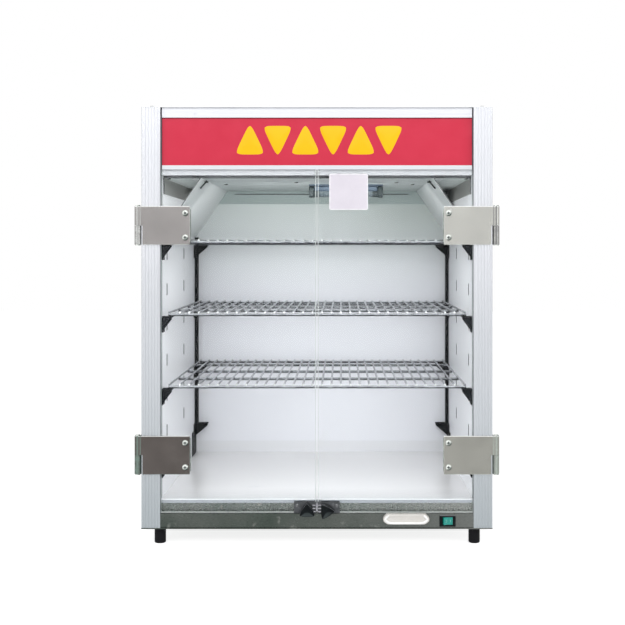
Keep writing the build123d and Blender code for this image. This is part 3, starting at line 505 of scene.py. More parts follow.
roof_low, roof_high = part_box("roof_panel")
pan_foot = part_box("base_pan")[0].z
roof_head = (0.0038, 0.0022, 0.0021)
pan_screw_head = (0.0034, 0.0018, 0.0019)
shank = 0.0018
shank_reach = (0.0034, 0.0040)
corner_inset = 0.013
rail_insets = (0.0176, 0.0105)
rail_screws = (-0.2027, -0.0664, 0.0692, 0.2049)
rail_places = [(x, y) for y in (roof_low.y + rail_insets[0], roof_high.y - rail_insets[1])
               for x in rail_screws]
corner_places = [(x, y) for x in (roof_low.x + corner_inset, roof_high.x - corner_inset)
                 for y in (roof_low.y + corner_inset, roof_high.y - corner_inset)]
casing_grids = []
for x, y in rail_places + corner_places:
    casing_grids.append(pan_head((x, y, roof_high.z), (0, 0, 1), *roof_head))
    casing_grids.append(rod((x, y, roof_high.z - shank_reach[0]), (x, y, roof_high.z), shank))
for x, y in corner_places:
    casing_grids.append(pan_head((x, y, pan_foot), (0, 0, -1), *pan_screw_head))
    casing_grids.append(rod((x, y, pan_foot), (x, y, pan_foot + shank_reach[1]), shank))
casing_screws = new_piece("casing_pan_screws", casing_grids, screw_grey, "cabinet")
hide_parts("casing_screws")


# Heated chamber: slotted side liners, back liner and the folded ceiling, all satin stainless
# sheet, with sloped air deflectors riveted across the upper corners.
def facing(material, axis):
    """1 where the surface faces along an axis of the object, either way, and 0 elsewhere."""
    tree = material.node_tree
    normal = add(tree, "TexCoord", {}).outputs["Normal"]
    part = add(tree, "SeparateXYZ", {0: normal}).outputs[axis]
    size = add(tree, "Math", {0: part}, operation="ABSOLUTE").outputs[0]
    return add(tree, "Math", {0: size, 1: 0.6}, operation="GREATER_THAN").outputs[0]


def both(first, second):
    """Where two amounts of one material hold together: their product."""
    return add(first.id_data, "Math", {0: first, 1: second}, operation="MULTIPLY").outputs[0]


liner_satin = finish(
    "liner_satin", ((0.84, 0.845, 0.875), (0.90, 0.905, 0.93)), 900, 3.0,
    (0.34, 0.44), 5e-7, worn=(18, 0.66, (0.78, 0.785, 0.80)), Metallic=0.05,
)
# Painted shade: the side liners are painted dark along their front edge, where the posts shade them.
front_edge_shade = fading(liner_satin, "Y", front + 0.016, front + 0.010)
lay_over(liner_satin, front_edge_shade, (0.20, 0.205, 0.22))
liner_back = finish(
    "liner_back", ((0.70, 0.705, 0.75), (0.77, 0.775, 0.82)), 900, 3.0,
    (0.34, 0.44), 5e-7, worn=(18, 0.66, (0.70, 0.705, 0.73)), Metallic=0.05,
)
# Painted shade: the back liner is painted greener and darker towards its top, for the shade under the
# header, darker still at its upper right, and slightly darker in a band along its foot where it meets
# the floor.
lay_over(liner_back, fading(liner_back, "Z", 0.33, 0.50), (0.56, 0.61, 0.59))
right_top_shade = both(fading(liner_back, "X", 0.04, 0.14), fading(liner_back, "Z", 0.40, 0.47, 0.6))
lay_over(liner_back, right_top_shade, (0.40, 0.45, 0.42))
liner_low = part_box("back_liner")[0]
foot_shade = fading(liner_back, "Z", liner_low.z + 0.020, liner_low.z + 0.017, 0.6)
lay_over(liner_back, foot_shade, (0.66, 0.66, 0.68))
give(liner_satin, "side_liner_left", "side_liner_right")
give(liner_back, "back_liner")
ceiling_steel = finish(
    "ceiling_steel", ((0.48, 0.53, 0.52), (0.68, 0.73, 0.72)), 420, 30.0,
    (0.35, 0.55), 3e-6, worn=(240, 0.60, (0.36, 0.39, 0.38)), Metallic=0.15,
)
# Painted shade: the ceiling is painted darker on its rear flange and on its faces that turn to the
# sides, and near black on its front fold, in the shadow of the header.
flange_from = liner_low.y - 0.004
rear_flange_shade = fading(ceiling_steel, "Y", flange_from, flange_from + 0.001)
lay_over(ceiling_steel, rear_flange_shade, (0.34, 0.40, 0.39))
lay_over(ceiling_steel, facing(ceiling_steel, "X"), (0.30, 0.30, 0.29))
front_fold_shadow = fading(ceiling_steel, "Y", front + 0.031, front + 0.026)
lay_over(ceiling_steel, front_fold_shadow, (0.085, 0.09, 0.095))
give(ceiling_steel, "ceiling_panel")
deflector_satin = finish(
    "deflector_satin", ((0.70, 0.73, 0.73), (0.80, 0.82, 0.82)), 1200, 3.5,
    (0.32, 0.40), 5e-7, worn=(26, 0.66, (0.62, 0.65, 0.65)), Metallic=0.2,
)
deflector_low, deflector_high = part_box("air_deflector_left")
# Painted shade: each deflector's front cut edge is painted near black as a dark line along it.
cut_edge_shade = fading(deflector_satin, "Y", deflector_low.y + 0.0009, deflector_low.y + 0.0004)
lay_over(deflector_satin, cut_edge_shade, (0.07, 0.075, 0.075))
give(deflector_satin, "air_deflector_left", "air_deflector_right")


# Ceiling fixings: pan head screws up through the sheet, a dark spring clip that holds each
# deflector's head, and the seam of high temperature sealant along the sides and the rear.
def bead(path, radius, sides=14, taper=24):
    """A round bead along a path in one upright plane, tapering to a point at both ends.

    Each ring is path + size * (cos * the path's normal in the plane + sin * Y), and its size
    is radius * (1 - |2 share - 1|^taper)^0.5.
    """
    along = np.gradient(path, axis=0)
    along /= np.linalg.norm(along, axis=1)[:, None]
    depth = np.array((0, 1.0, 0))
    beside = np.cross(along, depth)
    angle = np.linspace(0, 2 * math.pi, sides, endpoint=False)
    share = np.linspace(0, 1, len(path))
    size = radius * np.sqrt(np.clip(1 - np.abs(2 * share - 1) ** taper, 0, 1))
    ring = np.cos(angle)[None, :, None] * beside[:, None, :] + np.sin(angle)[None, :, None] * depth
    return path[:, None, :] + size[:, None, None] * ring


def eased(corners, count, passes):
    """A path through corners, sampled evenly and rounded by averaging each point's neighbours."""
    corners = np.array(corners, float)
    steps = np.linalg.norm(np.diff(corners, axis=0), axis=1)
    reach = np.concatenate([[0], np.cumsum(steps)])
    sample = np.linspace(0, reach[-1], count)
    path = np.stack([np.interp(sample, reach, corners[:, k]) for k in range(3)], axis=1)
    for _ in range(passes):
        path[1:-1] = (path[:-2] + 2 * path[1:-1] + path[2:]) / 4
    return path


ceiling_under = deflector_high.z
spring_black = finish(
    "spring_black", ((0.010, 0.014, 0.012), (0.035, 0.045, 0.040)), 500, 90.0,
    (0.3, 0.45), 4e-6, Metallic=0.6,
)
clip_y = front + 0.066
clip_head_x = 0.1605
clip_gap = 0.0013
clip_drop = 0.0125
clip_wire = 0.0011
cross_pin = 0.0013
pin_drop = 0.0030
deflector_slope = 0.0525 / 0.0765
fixing_grids = []
for side in (-1, 1):
    head_x = side * clip_head_x
    corners = [
        (head_x - side * 0.0020, clip_y, ceiling_under - 0.0006),
        (head_x - side * 0.0005, clip_y, ceiling_under - 0.0034),
        (head_x + side * (clip_drop * deflector_slope - clip_gap), clip_y, ceiling_under - clip_drop),
    ]
    fixing_grids.append(bead(eased(corners, 40, 6), clip_wire, 10))
    pin_ends = [(head_x + side * x, clip_y, ceiling_under - pin_drop) for x in (-0.0045, 0.0012)]
    fixing_grids.append(rod(*pin_ends, cross_pin))
new_piece("deflector_clips", fixing_grids, spring_black, "cabinet")
ceiling_head = (0.0032, 0.0016, 0.0018)
ceiling_screw_places = ((-0.207, 0.028), (0.207, 0.028), (-0.141, 0.169), (0.141, 0.169),
                        (-0.033, 0.116), (0.114, 0.116))
new_piece(
    "ceiling_screws",
    [pan_head((x, front + depth, ceiling_under), (0, 0, -1), *ceiling_head)
     for x, depth in ceiling_screw_places],
    screw_zinc, "cabinet",
)
seam_half = 0.150
seam_radius = 0.0009
seam_z = (ceiling_under - 0.0003, ceiling_under - 0.0052)
seam_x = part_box("ceiling_panel")[1].x - 0.0014
seam_ends = (front + 0.026, liner_low.y - 0.001)
seam_black = finish(
    "seam_black", ((0.05, 0.06, 0.06), (0.11, 0.125, 0.12)), 200, 60.0,
    (0.5, 0.7), 2e-5,
)
seam_paths = [np.linspace((-seam_half, seam_ends[1], seam_z[1]),
                          (seam_half, seam_ends[1], seam_z[1]), 60)]
seam_paths += [np.linspace((side * seam_x, seam_ends[0], seam_z[0]),
                           (side * seam_x, seam_ends[1], seam_z[0]), 40)
               for side in (-1, 1)]
new_piece("ceiling_seam", [bead(path, seam_radius, 8, 60) for path in seam_paths], seam_black,
          "cabinet")


# Ceiling lamp: a smoked tube under a slate painted hood, between two rounded sockets on a
# plate screwed to the ceiling. The sockets are moulded in black phenolic.
holder_low, holder_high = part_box("lamp_holder")
tube_low, tube_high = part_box("lamp_tube")
lamp_middle = (holder_low + holder_high) / 2
tube_middle = (tube_low + tube_high) / 2
socket_length = tube_low.x - holder_low.x
plate_thick = 0.002
plate_half = ((holder_high.x - holder_low.x) / 2, 0.011)
socket_half = (0.009, (holder_high.z - holder_low.z - plate_thick) / 2)
hood_half = ((tube_high.x - tube_low.x) / 2, 0.0086, 0.0042)
hood_drop = 0.0040
cap_radius = 0.0072
cap_length = 0.0082
cap_bevel = 0.0004
tube_bevel = 0.0006
socket_corner = (0.0065, 0.0012)
hood_corner = (0.0030, 0.0020)
plate_corner = (plate_thick * 0.45, 0.0004)
hood_slate = finish(
    "hood_slate", ((0.062, 0.092, 0.130), (0.115, 0.150, 0.190)), 500, 40.0,
    (0.30, 0.42), 2e-6, worn=(70, 0.66, (0.19, 0.23, 0.27)), Metallic=0.3,
)
tube_smoked = finish(
    "tube_smoked", ((0.050, 0.068, 0.078), (0.120, 0.145, 0.155)), (30, 400, 400), 60.0,
    (0.08, 0.16), 1e-6,
)
socket_black = finish(
    "socket_black", ((0.018, 0.026, 0.028), (0.050, 0.064, 0.066)), 400, 90.0,
    (0.35, 0.50), 3e-6, Specular_IOR_Level=0.3,
)
socket_grids = []
for x in (holder_low.x, holder_high.x - socket_length):
    socket = plate(*socket_half, socket_corner[0],
                   (lamp_middle.y, x, holder_low.z + socket_half[1]), socket_length,
                   socket_corner[1])
    socket_grids.append(socket[..., [1, 0, 2]])
for x, direction in ((tube_low.x, 1), (tube_high.x, -1)):
    socket_grids.append(turned(
        (x, tube_middle.y, tube_middle.z), (direction, 0, 0),
        [(0, 0), (cap_radius, 0), (cap_radius, cap_length - cap_bevel),
         (cap_radius - cap_bevel, cap_length), (0, cap_length)]))
new_piece("lamp_sockets", socket_grids, socket_black, "cabinet")
plate_foot = holder_high.z - plate_thick
base_and_hood = [
    plate(plate_half[0], plate_thick / 2, plate_corner[0],
          (lamp_middle.x, lamp_middle.y - plate_half[1], plate_foot + plate_thick / 2),
          2 * plate_half[1], plate_corner[1]),
    plate(hood_half[0], hood_half[2], hood_corner[0],
          (tube_middle.x, lamp_middle.y - hood_half[1], plate_foot - hood_drop),
          2 * hood_half[1], hood_corner[1]),
]
hood = new_piece("lamp_hood", base_and_hood, hood_slate, "cabinet")
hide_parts("lamp_holder")
tube_radius = (tube_high.z - tube_low.z) / 2
tube = new_piece(
    "smoked_tube",
    [rod((tube_low.x, tube_middle.y, tube_middle.z), (tube_high.x, tube_middle.y, tube_middle.z),
         tube_radius, 40, tube_bevel / tube_radius)],
    tube_smoked, "cabinet",
)
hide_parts("lamp_tube")


# Slot rims: the edge rolled over round each shelf slot of the side liners, painted near black as a
# painted shade for the dark inside of the slot.
# Two columns of six slots run up each wall, with a rim on the side that shows.
slot_depths = (0.058, 0.238)
slot_half = (0.0010, 0.0055)
slot_top = 0.3995
slot_step = 0.050
slot_rows = 6
rim_wide = 0.0016
rim_tall = 0.0004
slot_shade_black = finish(
    "slot_shade_black", ((0.010, 0.012, 0.013), (0.040, 0.044, 0.047)), 400, 90.0,
    (0.4, 0.6), 2e-6,
)


def rolled_rim(outline, wall, toward, middle, wide, tall):
    """A low half round ridge along an outline: (wide * cos, tall * sin) swept round it."""
    closed = np.concatenate([outline, outline[:1]])
    away = closed / np.linalg.norm(closed, axis=1)[:, None]
    section = np.linspace(0, 2 * math.pi, 8, endpoint=False)
    flat = closed[:, None, :] + wide * np.cos(section)[None, :, None] * away[:, None, :]
    raised = wall + toward * tall * np.sin(section)[None, :] * np.ones((len(closed), 1))
    return np.stack([raised, middle[0] + flat[..., 0], middle[1] + flat[..., 1]], axis=-1)


rim_outline = rounded_outline(slot_half[0] + rim_wide, slot_half[1] + rim_wide, rim_wide, 4)
rim_grids = []
for side, name in ((-1, "left"), (1, "right")):
    side_low, side_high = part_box("side_liner_" + name)
    wall = side_high.x if side < 0 else side_low.x
    for depth in slot_depths:
        for k in range(slot_rows):
            middle = (front + depth, slot_top - k * slot_step)
            rim_grids.append(rolled_rim(rim_outline, wall, -side, middle, rim_wide, rim_tall))
new_piece("slot_shade_rims", rim_grids, slot_shade_black, "cabinet")


# Heater: a bent element under the floor, held by clips beside its thermostat, all in steel
# browned by heat. Its wires go into a block of bare ceramic.
element_steel = finish(
    "element_steel", ((0.12, 0.10, 0.09), (0.30, 0.26, 0.22)), 600, 40.0,
    (0.35, 0.6), 2e-5, Metallic=0.8,
)
give(element_steel, "heating_element", "element_clips", "thermostat")
bare_ceramic = finish(
    "bare_ceramic", ((0.66, 0.63, 0.57), (0.80, 0.77, 0.71)), 900, 50.0,
    (0.55, 0.75), 4e-5,
)
give(bare_ceramic, "terminal_block")


# Base: floor sheet, door sill and front panel folded from brushed stainless, mottled by
# handling, on a pressed base pan with four rubber feet.
floor_steel = finish(
    "floor_steel", ((0.92, 0.905, 0.91), (0.96, 0.945, 0.95)), 1200, 4.0,
    (0.14, 0.22), 5e-7, worn=(14, 0.66, (0.84, 0.835, 0.85)), Metallic=0.05,
)
floor_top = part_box("cabinet_floor")[1].z
# Painted shade: the floor is painted darker near the front, and its upright front lip darker still.
near_shade = fading(floor_steel, "Y", front + 0.08, front + 0.01, 0.9)
lay_over(floor_steel, near_shade, (0.64, 0.64, 0.655))
lip_shade = both(facing(floor_steel, "Y"),
                fading(floor_steel, "Z", floor_top - 0.0006, floor_top - 0.0014))
lay_over(floor_steel, lip_shade, (0.23, 0.245, 0.27))
give(floor_steel, "cabinet_floor")
base_steel = finish(
    "base_steel", ((0.033, 0.046, 0.038), (0.088, 0.096, 0.088)), (300, 900, 900), 18.0,
    (0.24, 0.38), 1e-6, worn=(60, 0.63, (0.17, 0.18, 0.165)), Metallic=0.75,
)
# Painted light: the base steel is painted lighter towards the right, for the light falling across it.
lay_over(base_steel, fading(base_steel, "X", 0.02, 0.24, 0.75), (0.15, 0.155, 0.15))
give(base_steel, "base_front_panel", "base_pan", "water_tray", "tray_guide")
sill_steel = finish(
    "sill_steel", ((0.084, 0.099, 0.093), (0.128, 0.135, 0.128)), (300, 900, 900), 22.0,
    (0.22, 0.36), 1e-6, worn=(70, 0.65, (0.22, 0.21, 0.20)), Metallic=0.75,
)
# Painted light: the sill is painted lighter towards the right, and a painted highlight runs along its
# foot where the edge catches the light.
lay_over(sill_steel, fading(sill_steel, "X", -0.05, 0.22, 0.7), (0.20, 0.205, 0.195))
sill_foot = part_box("door_sill")[0].z
sill_foot_highlight = fading(sill_steel, "Z", sill_foot + 0.0014, sill_foot + 0.0008)
lay_over(sill_steel, sill_foot_highlight, (0.42, 0.43, 0.42))
give(sill_steel, "door_sill")
foot_rubber = finish(
    "foot_rubber", ((0.004, 0.004, 0.005), (0.010, 0.010, 0.012)), 350, 70.0,
    (0.5, 0.75), 3e-5, Specular_IOR_Level=0.10,
)
give(foot_rubber, "rubber_feet")


# Shelf carriers: gusset brackets and corner channels in black powder coated steel. A plate
# holds the foot of each channel to the side wall.
powder_black = finish(
    "powder_black", ((0.002, 0.0025, 0.004), (0.007, 0.008, 0.010)), 1400, 25.0,
    (0.45, 0.60), 4e-6, worn=(40, 0.68, (0.010, 0.011, 0.013)), Specular_IOR_Level=0.06,
)
give(powder_black, "brackets_front", "brackets_rear", "corner_uprights")
foot_half = (0.026, 0.0195)
foot_radius = 0.0015
foot_thick = 0.0012
foot_bevel = 0.0002
foot_middle = (liner_low.y - foot_half[0] - 0.001, floor_top + foot_half[1] + 0.0001)
foot_grids = []
for side, name in ((-1, "left"), (1, "right")):
    side_low, side_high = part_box("side_liner_" + name)
    wall = side_high.x if side < 0 else side_low.x - foot_thick
    foot = plate(*foot_half, foot_radius, (foot_middle[0], wall, foot_middle[1]), foot_thick,
                 foot_bevel)
    foot_grids.append(foot[..., [1, 0, 2]])
new_piece("upright_feet", foot_grids, powder_black, "cabinet")


# Shelves: cross bars under a row of thinner wires, welded where they cross and chrome plated. The
# chrome is painted near black underneath, lighter on top and with a painted highlight along the upper
# front, and the cut ends are painted bright as glints.
shelf_chrome = finish(
    "shelf_chrome", ((0.030, 0.034, 0.042), (0.27, 0.28, 0.30)), 90, 140.0,
    (0.14, 0.24), 2e-6, Metallic=0.8,
)
cut_end_glint = finish(
    "cut_end_glint", ((0.66, 0.67, 0.69), (0.80, 0.81, 0.82)), 300, 90.0,
    (0.10, 0.20), 2e-6, Metallic=0.3,
)
# Painted shade under the wires and bars, painted light on their tops, and a painted highlight where
# they face up and forward.
lay_over(shelf_chrome, leaning(shelf_chrome, (0, 0, -1), 0.10, 0.55), (0.018, 0.020, 0.027))
lay_over(shelf_chrome, leaning(shelf_chrome, (0, 0, 1), 0.30, 0.75), (0.31, 0.32, 0.34))
lay_over(shelf_chrome, leaning(shelf_chrome, (0, -0.6, 0.8), 0.84, 0.98), (0.55, 0.56, 0.58))
bar_radius = 0.0020
wire_radius = 0.0014
weld_sink = 0.0003
end_length = 0.0016
end_radius = wire_radius + 0.0001
bar_depths = (0.002, 0.106, 0.210, 0.314, 0.370)
wire_count = 30
first_wire_gap = 0.016
for place in ("top", "middle", "lower"):
    shelf_low, shelf_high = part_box("shelf_" + place)
    bar_z = shelf_low.z + bar_radius
    wire_z = bar_z + bar_radius + wire_radius - weld_sink
    wire_xs = np.linspace(
        shelf_low.x + first_wire_gap, shelf_high.x - first_wire_gap, wire_count
    ).tolist()
    wire_xs += [shelf_low.x + wire_radius, shelf_high.x - wire_radius]
    shelf_grids = [
        rod((shelf_low.x, shelf_low.y + depth, bar_z), (shelf_high.x, shelf_low.y + depth, bar_z),
            bar_radius, 16)
        for depth in bar_depths
    ]
    shelf_grids += [
        rod((x, shelf_low.y + end_length / 2, wire_z), (x, shelf_high.y, wire_z),
            wire_radius, 12, 0.3)
        for x in wire_xs
    ]
    shelf = new_piece("wires_" + place, shelf_grids, shelf_chrome, "shelf_" + place)
    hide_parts("shelf_" + place)
    new_piece(
        "wire_ends_" + place,
        [rod((x, shelf_low.y, wire_z), (x, shelf_low.y + end_length, wire_z), end_radius, 12, 0.4)
         for x in wire_xs[:wire_count]],
        cut_end_glint, "shelf_" + place,
    )


# Doors: frameless glass with ground edges, clamped in stainless hinges whose knuckles are
# rolled from the plate.
def door_glass():
    """Clear glass that lets lamps through, with paler ground edges where its normal turns
    away from the front."""
    material = bpy.data.materials.new("door_glass")
    material.use_nodes = True
    tree = material.node_tree
    clear = tree.nodes["Principled BSDF"]
    clear.inputs["Base Color"].default_value = (0.930, 0.945, 0.945, 1)
    clear.inputs["Roughness"].default_value = 0.0
    clear.inputs["IOR"].default_value = 1.14
    clear.inputs["Transmission Weight"].default_value = 1.0
    edge = add(tree, "BsdfPrincipled", {"Base Color": (0.42, 0.50, 0.48, 1), "Roughness": 0.3})
    faces = add(tree, "MixShader", {0: facing(material, "Y"), 1: edge.outputs[0],
                                    2: clear.outputs[0]})
    passing = add(tree, "BsdfTransparent", {"Color": (0.97, 0.98, 0.98, 1)})
    shadow = add(tree, "LightPath", {}).outputs["Is Shadow Ray"]
    whole = add(tree, "MixShader", {0: shadow, 1: faces.outputs[0], 2: passing.outputs[0]})
    tree.links.new(whole.outputs[0], tree.nodes["Material Output"].inputs["Surface"])
    return material


give(door_glass(), "door_glass_left", "door_glass_right")


def near_edges(material, low, high, width):
    """0 to 1 where X or Z comes within a width of a box's sides, broken up by a noise."""
    tree = material.node_tree
    place = add(tree, "TexCoord", {}).outputs["Object"]
    parts = add(tree, "SeparateXYZ", {0: place})
    rises = []
    for axis, a, b in (("X", low[0], high[0]), ("Z", low[2], high[2])):
        part = parts.outputs[axis]
        off = add(tree, "Math", {0: part, 1: (a + b) / 2}, operation="SUBTRACT").outputs[0]
        off = add(tree, "Math", {0: off}, operation="ABSOLUTE").outputs[0]
        inside = (b - a) / 2 - width
        rises.append(add(tree, "MapRange", {
            "Value": off, "From Min": inside, "From Max": inside + width}).outputs[0])
    amount = add(tree, "Math", {0: rises[0], 1: rises[1]}, operation="MAXIMUM").outputs[0]
    noise = add(tree, "TexNoise", {"Vector": place, "Scale": 120.0, "Detail": 3.0}).outputs["Fac"]
    rub = add(tree, "MapRange", {"Value": noise, "From Min": 0.30, "From Max": 0.55}).outputs[0]
    return both(amount, rub)


def reflection_bands(material, start, pitch):
    """Upright bands beyond a distance from the middle: 0.45 + 0.45 cos(2 pi (|x| - start) / pitch).

    The bands are a painted reflection: the light and dark that a rounded knuckle mirrors from the
    room.
    """
    tree = material.node_tree
    place = add(tree, "TexCoord", {}).outputs["Object"]
    x = add(tree, "SeparateXYZ", {0: place}).outputs[0]
    off = add(tree, "Math", {0: x}, operation="ABSOLUTE").outputs[0]
    turn = add(tree, "Math", {0: off, 1: -start}, operation="ADD").outputs[0]
    turn = add(tree, "Math", {0: turn, 1: 2 * math.pi / pitch}, operation="MULTIPLY").outputs[0]
    wave = add(tree, "Math", {0: turn}, operation="COSINE").outputs[0]
    wave = add(tree, "Math", {0: wave, 1: 0.45, 2: 0.45}, operation="MULTIPLY_ADD").outputs[0]
    beyond = add(tree, "Math", {0: off, 1: start}, operation="GREATER_THAN").outputs[0]
    return both(wave, beyond)


# Painted light and reflection: the four plates are one stainless steel, each given its own dark and
# light tones for how it catches the room; then a rubbed tone for its worn edges, and a band tone for
# the painted reflection on its knuckle, also the lightest tone of its leaf.
plate_light_tones = {
    "upper_left": ((0.235, 0.225, 0.22), (0.30, 0.285, 0.28),
                   (0.52, 0.53, 0.51), (0.40, 0.41, 0.40)),
    "lower_left": ((0.060, 0.052, 0.048), (0.100, 0.088, 0.082),
                   (0.16, 0.18, 0.165), (0.14, 0.19, 0.165)),
    "upper_right": ((0.37, 0.37, 0.35), (0.44, 0.44, 0.41),
                    (0.60, 0.62, 0.60), (0.17, 0.17, 0.175)),
    "lower_right": ((0.20, 0.20, 0.18), (0.27, 0.27, 0.245),
                    (0.42, 0.43, 0.40), (0.30, 0.34, 0.31)),
}
knuckle_radius = 0.0046
knuckle_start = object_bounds()[1].x - 2 * knuckle_radius
rubbed_edge = 0.0010
for place, (dark, light, rubbed, band_tone) in plate_light_tones.items():
    plate_satin = finish(
        "plate_" + place, (dark, light), 1200, 24.0, (0.22, 0.32), 5e-7,
        worn=(45, 0.67, rubbed), Metallic=0.75,
    )
    plate_low, plate_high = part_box("hinge_plate_" + place)
    lay_over(plate_satin, near_edges(plate_satin, plate_low, plate_high, rubbed_edge), rubbed)
    # Painted highlight: a pale line along each plate's top edge, where the edge catches the light.
    top_edge_highlight = fading(plate_satin, "Z", plate_high.z - 0.0013, plate_high.z - 0.0007)
    lay_over(plate_satin, top_edge_highlight, [(tone + 0.9) / 2 for tone in rubbed])
    lay_over(plate_satin, reflection_bands(plate_satin, knuckle_start, knuckle_radius), band_tone)
    give(plate_satin, "hinge_plate_" + place)
    leaf_satin = finish(
        "leaf_" + place, (dark, band_tone), (1200, 1200, 60), 120.0, (0.20, 0.32), 5e-7, Metallic=0.75
    )
    lay_over(leaf_satin, reflection_bands(leaf_satin, knuckle_start, knuckle_radius), band_tone)
    give(leaf_satin, "hinge_leaf_" + place)
give(screw_zinc, "hinge_pins")


# Ground edges: the arris ground along each door's edges, pale where it is upright or at the
# foot, and dark along the top.
arris_width = 0.0009
arris_depth = 0.00012
arris_pale = finish(
    "arris_pale", ((0.46, 0.50, 0.49), (0.62, 0.66, 0.65)), 300, 40.0,
    (0.30, 0.45), 2e-6,
)
arris_dark = finish(
    "arris_dark", ((0.10, 0.11, 0.12), (0.24, 0.25, 0.27)), 300, 30.0,
    (0.25, 0.40), 2e-6,
)
for side in ("left", "right"):
    toward = 1 if side == "left" else -1
    glass_low, glass_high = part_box("door_glass_" + side)
    meeting_x = (glass_high.x if toward > 0 else glass_low.x) - toward * arris_width / 2
    middle = (glass_low + glass_high) / 2
    face = glass_low.y - arris_depth
    half_x = (glass_high.x - glass_low.x) / 2
    half_z = (glass_high.z - glass_low.z) / 2
    across = [plate(half_x, arris_width / 2, arris_width / 3, (middle.x, face, z), arris_depth,
                    arris_depth / 4)
              for z in (glass_low.z + arris_width / 2, glass_high.z - arris_width / 2)]
    upright = plate(arris_width / 2, half_z, arris_width / 3, (meeting_x, face, middle.z),
                    arris_depth, arris_depth / 4)
    new_piece("pale_arris_" + side, [upright, across[0]], arris_pale, "door_" + side)
    new_piece("dark_arris_" + side, [across[1]], arris_dark, "door_" + side)


# Hinge clamps: pan head screws through plate and glass, with a steel strap and nuts behind.
# Each head has a cross pressed into it for the driver, with a near black cross set in it as a painted
# shadow.
hinge_head = (0.0042, 0.0024, 0.0023)
hinge_screw_inset = 0.0063
hinge_screw_half = 0.0167
strap_half = (0.007, 0.023)
strap_steel = 0.0015
strap_corner = (0.0012, 0.0003)
nut_radius = 0.0036
nut_height = 0.002
nut_profile = [(0, 0), (1, 0), (1, nut_height - 0.0003), (0.92, nut_height), (0, nut_height)]
screw_end = 0.0026
cross_long = 0.00175
cross_wide = 0.00042
cross_from = 0.0012
cross_deep = 0.0008
cross_profile = [(0, 0), (1, 0), (1, cross_deep), (0, cross_deep)]
quarter = np.array([(cross_long, -cross_wide), (cross_long, cross_wide),
                    (cross_wide, cross_wide)])
cross = np.concatenate([
    quarter @ np.array([(math.cos(a), math.sin(a)), (-math.sin(a), math.cos(a))])
    for a in np.arange(4) * math.pi / 2])
hexagon = np.array([(math.cos(a), math.sin(a)) for a in np.arange(6) * math.pi / 3]) * nut_radius
for side in ("left", "right"):
    toward = 1 if side == "left" else -1
    glass_low, glass_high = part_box("door_glass_" + side)
    plate_face = glass_low.y - strap_steel
    nut_face = glass_high.y + strap_steel
    clamp_grids = []
    recess_grids = []
    for place in ("upper", "lower"):
        plate_low, plate_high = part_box(f"hinge_plate_{place}_{side}")
        x = (plate_high.x if toward > 0 else plate_low.x) - toward * hinge_screw_inset
        middle = (plate_low.z + plate_high.z) / 2
        clamp_grids.append(plate(*strap_half, strap_corner[0], (x, glass_high.y, middle),
                                 strap_steel, strap_corner[1]))
        for z in (middle - hinge_screw_half, middle + hinge_screw_half):
            clamp_grids.append(pan_head((x, plate_face, z), (0, -1, 0), *hinge_head))
            clamp_grids.append(stacked(hexagon, (x, nut_face, z), nut_profile))
            clamp_grids.append(rod((x, plate_face, z), (x, nut_face + screw_end, z), shank))
            recess_grids.append(stacked(cross, (x, plate_face - cross_from, z), cross_profile))
    new_piece("recess_shadows_" + side, recess_grids, socket_black, "door_" + side)
    clamps = new_piece("hinge_screws_" + side, clamp_grids, screw_zinc, "door_" + side)
    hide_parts("hinge_clamps_" + side)


# Sticker: a blank paper label with rounded corners, stuck on the outside of the right door.
# The paper is faintly lilac, with a painted highlight whiter round its rim.
label_half = (0.02655, 0.0248)
label_centre = (0.0435, 0.4850)
label_film = 0.00015
label_radius = 0.0024
label_rim = 0.002
label_paper = finish(
    "label_paper", ((0.58, 0.55, 0.61), (0.64, 0.61, 0.67)), 700, 30.0,
    (0.45, 0.6), 4e-6,
)
label_corner = np.array((label_half[0], 0, label_half[1]))
label_place = np.array((label_centre[0], 0, label_centre[1]))
label_rim_highlight = near_edges(label_paper, label_place - label_corner, label_place + label_corner,
                        label_rim)
lay_over(label_paper, label_rim_highlight, (0.84, 0.84, 0.86))
label_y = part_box("door_glass_right")[0].y - label_film
new_piece(
    "blank_label",
    [plate(*label_half, label_radius, (label_centre[0], label_y, label_centre[1]), label_film,
           label_film / 4)],
    label_paper, "door_right",
)


# Door clips and the magnetic catch: folded steel clips over the glass corners that carry the
# knob studs, closing on a catch with bright steel ribs.
clip_dark = finish(
    "clip_dark", ((0.028, 0.031, 0.034), (0.078, 0.083, 0.090)), 500, 150.0,
    (0.28, 0.42), 3e-6, worn=(160, 0.66, (0.17, 0.18, 0.19)), Metallic=0.6,
)
give(clip_dark, "door_clip_left", "door_clip_right")
catch_steel = finish(
    "catch_steel", ((0.22, 0.22, 0.25), (0.62, 0.62, 0.67)), 300, 90.0,
    (0.25, 0.40), 3e-6, Metallic=0.6,
)
give(catch_steel, "magnet_catch")
clip_head = (0.0022, 0.0012, 0.0012)
clip_head_inset = 0.0043
clip_head_z = 0.0552
clip_head_sunk = 0.00005
rib_size = (0.0022, 0.0006, 0.0005)
rib_inset = 0.0026
rib_proud = 0.0004
rib_thick = 0.0006
rib_bevel = 0.0002
rib_heights = (0.0556, 0.0512, 0.0468)
for side in ("left", "right"):
    clip_low, clip_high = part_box("door_clip_" + side)
    toward = 1 if side == "left" else -1
    outer_x, inner_x = (clip_low.x, clip_high.x)[::toward]
    head_place = (outer_x + toward * clip_head_inset, clip_low.y + clip_head_sunk, clip_head_z)
    new_piece("clip_screw_" + side, [pan_head(head_place, (0, -1, 0), *clip_head)], screw_grey,
              "door_" + side)
    rib_x = inner_x - toward * rib_inset
    new_piece(
        "clip_ribs_" + side,
        [plate(*rib_size, (rib_x, clip_low.y - rib_proud, z), rib_thick, rib_bevel)
         for z in rib_heights],
        catch_steel, "door_" + side,
    )


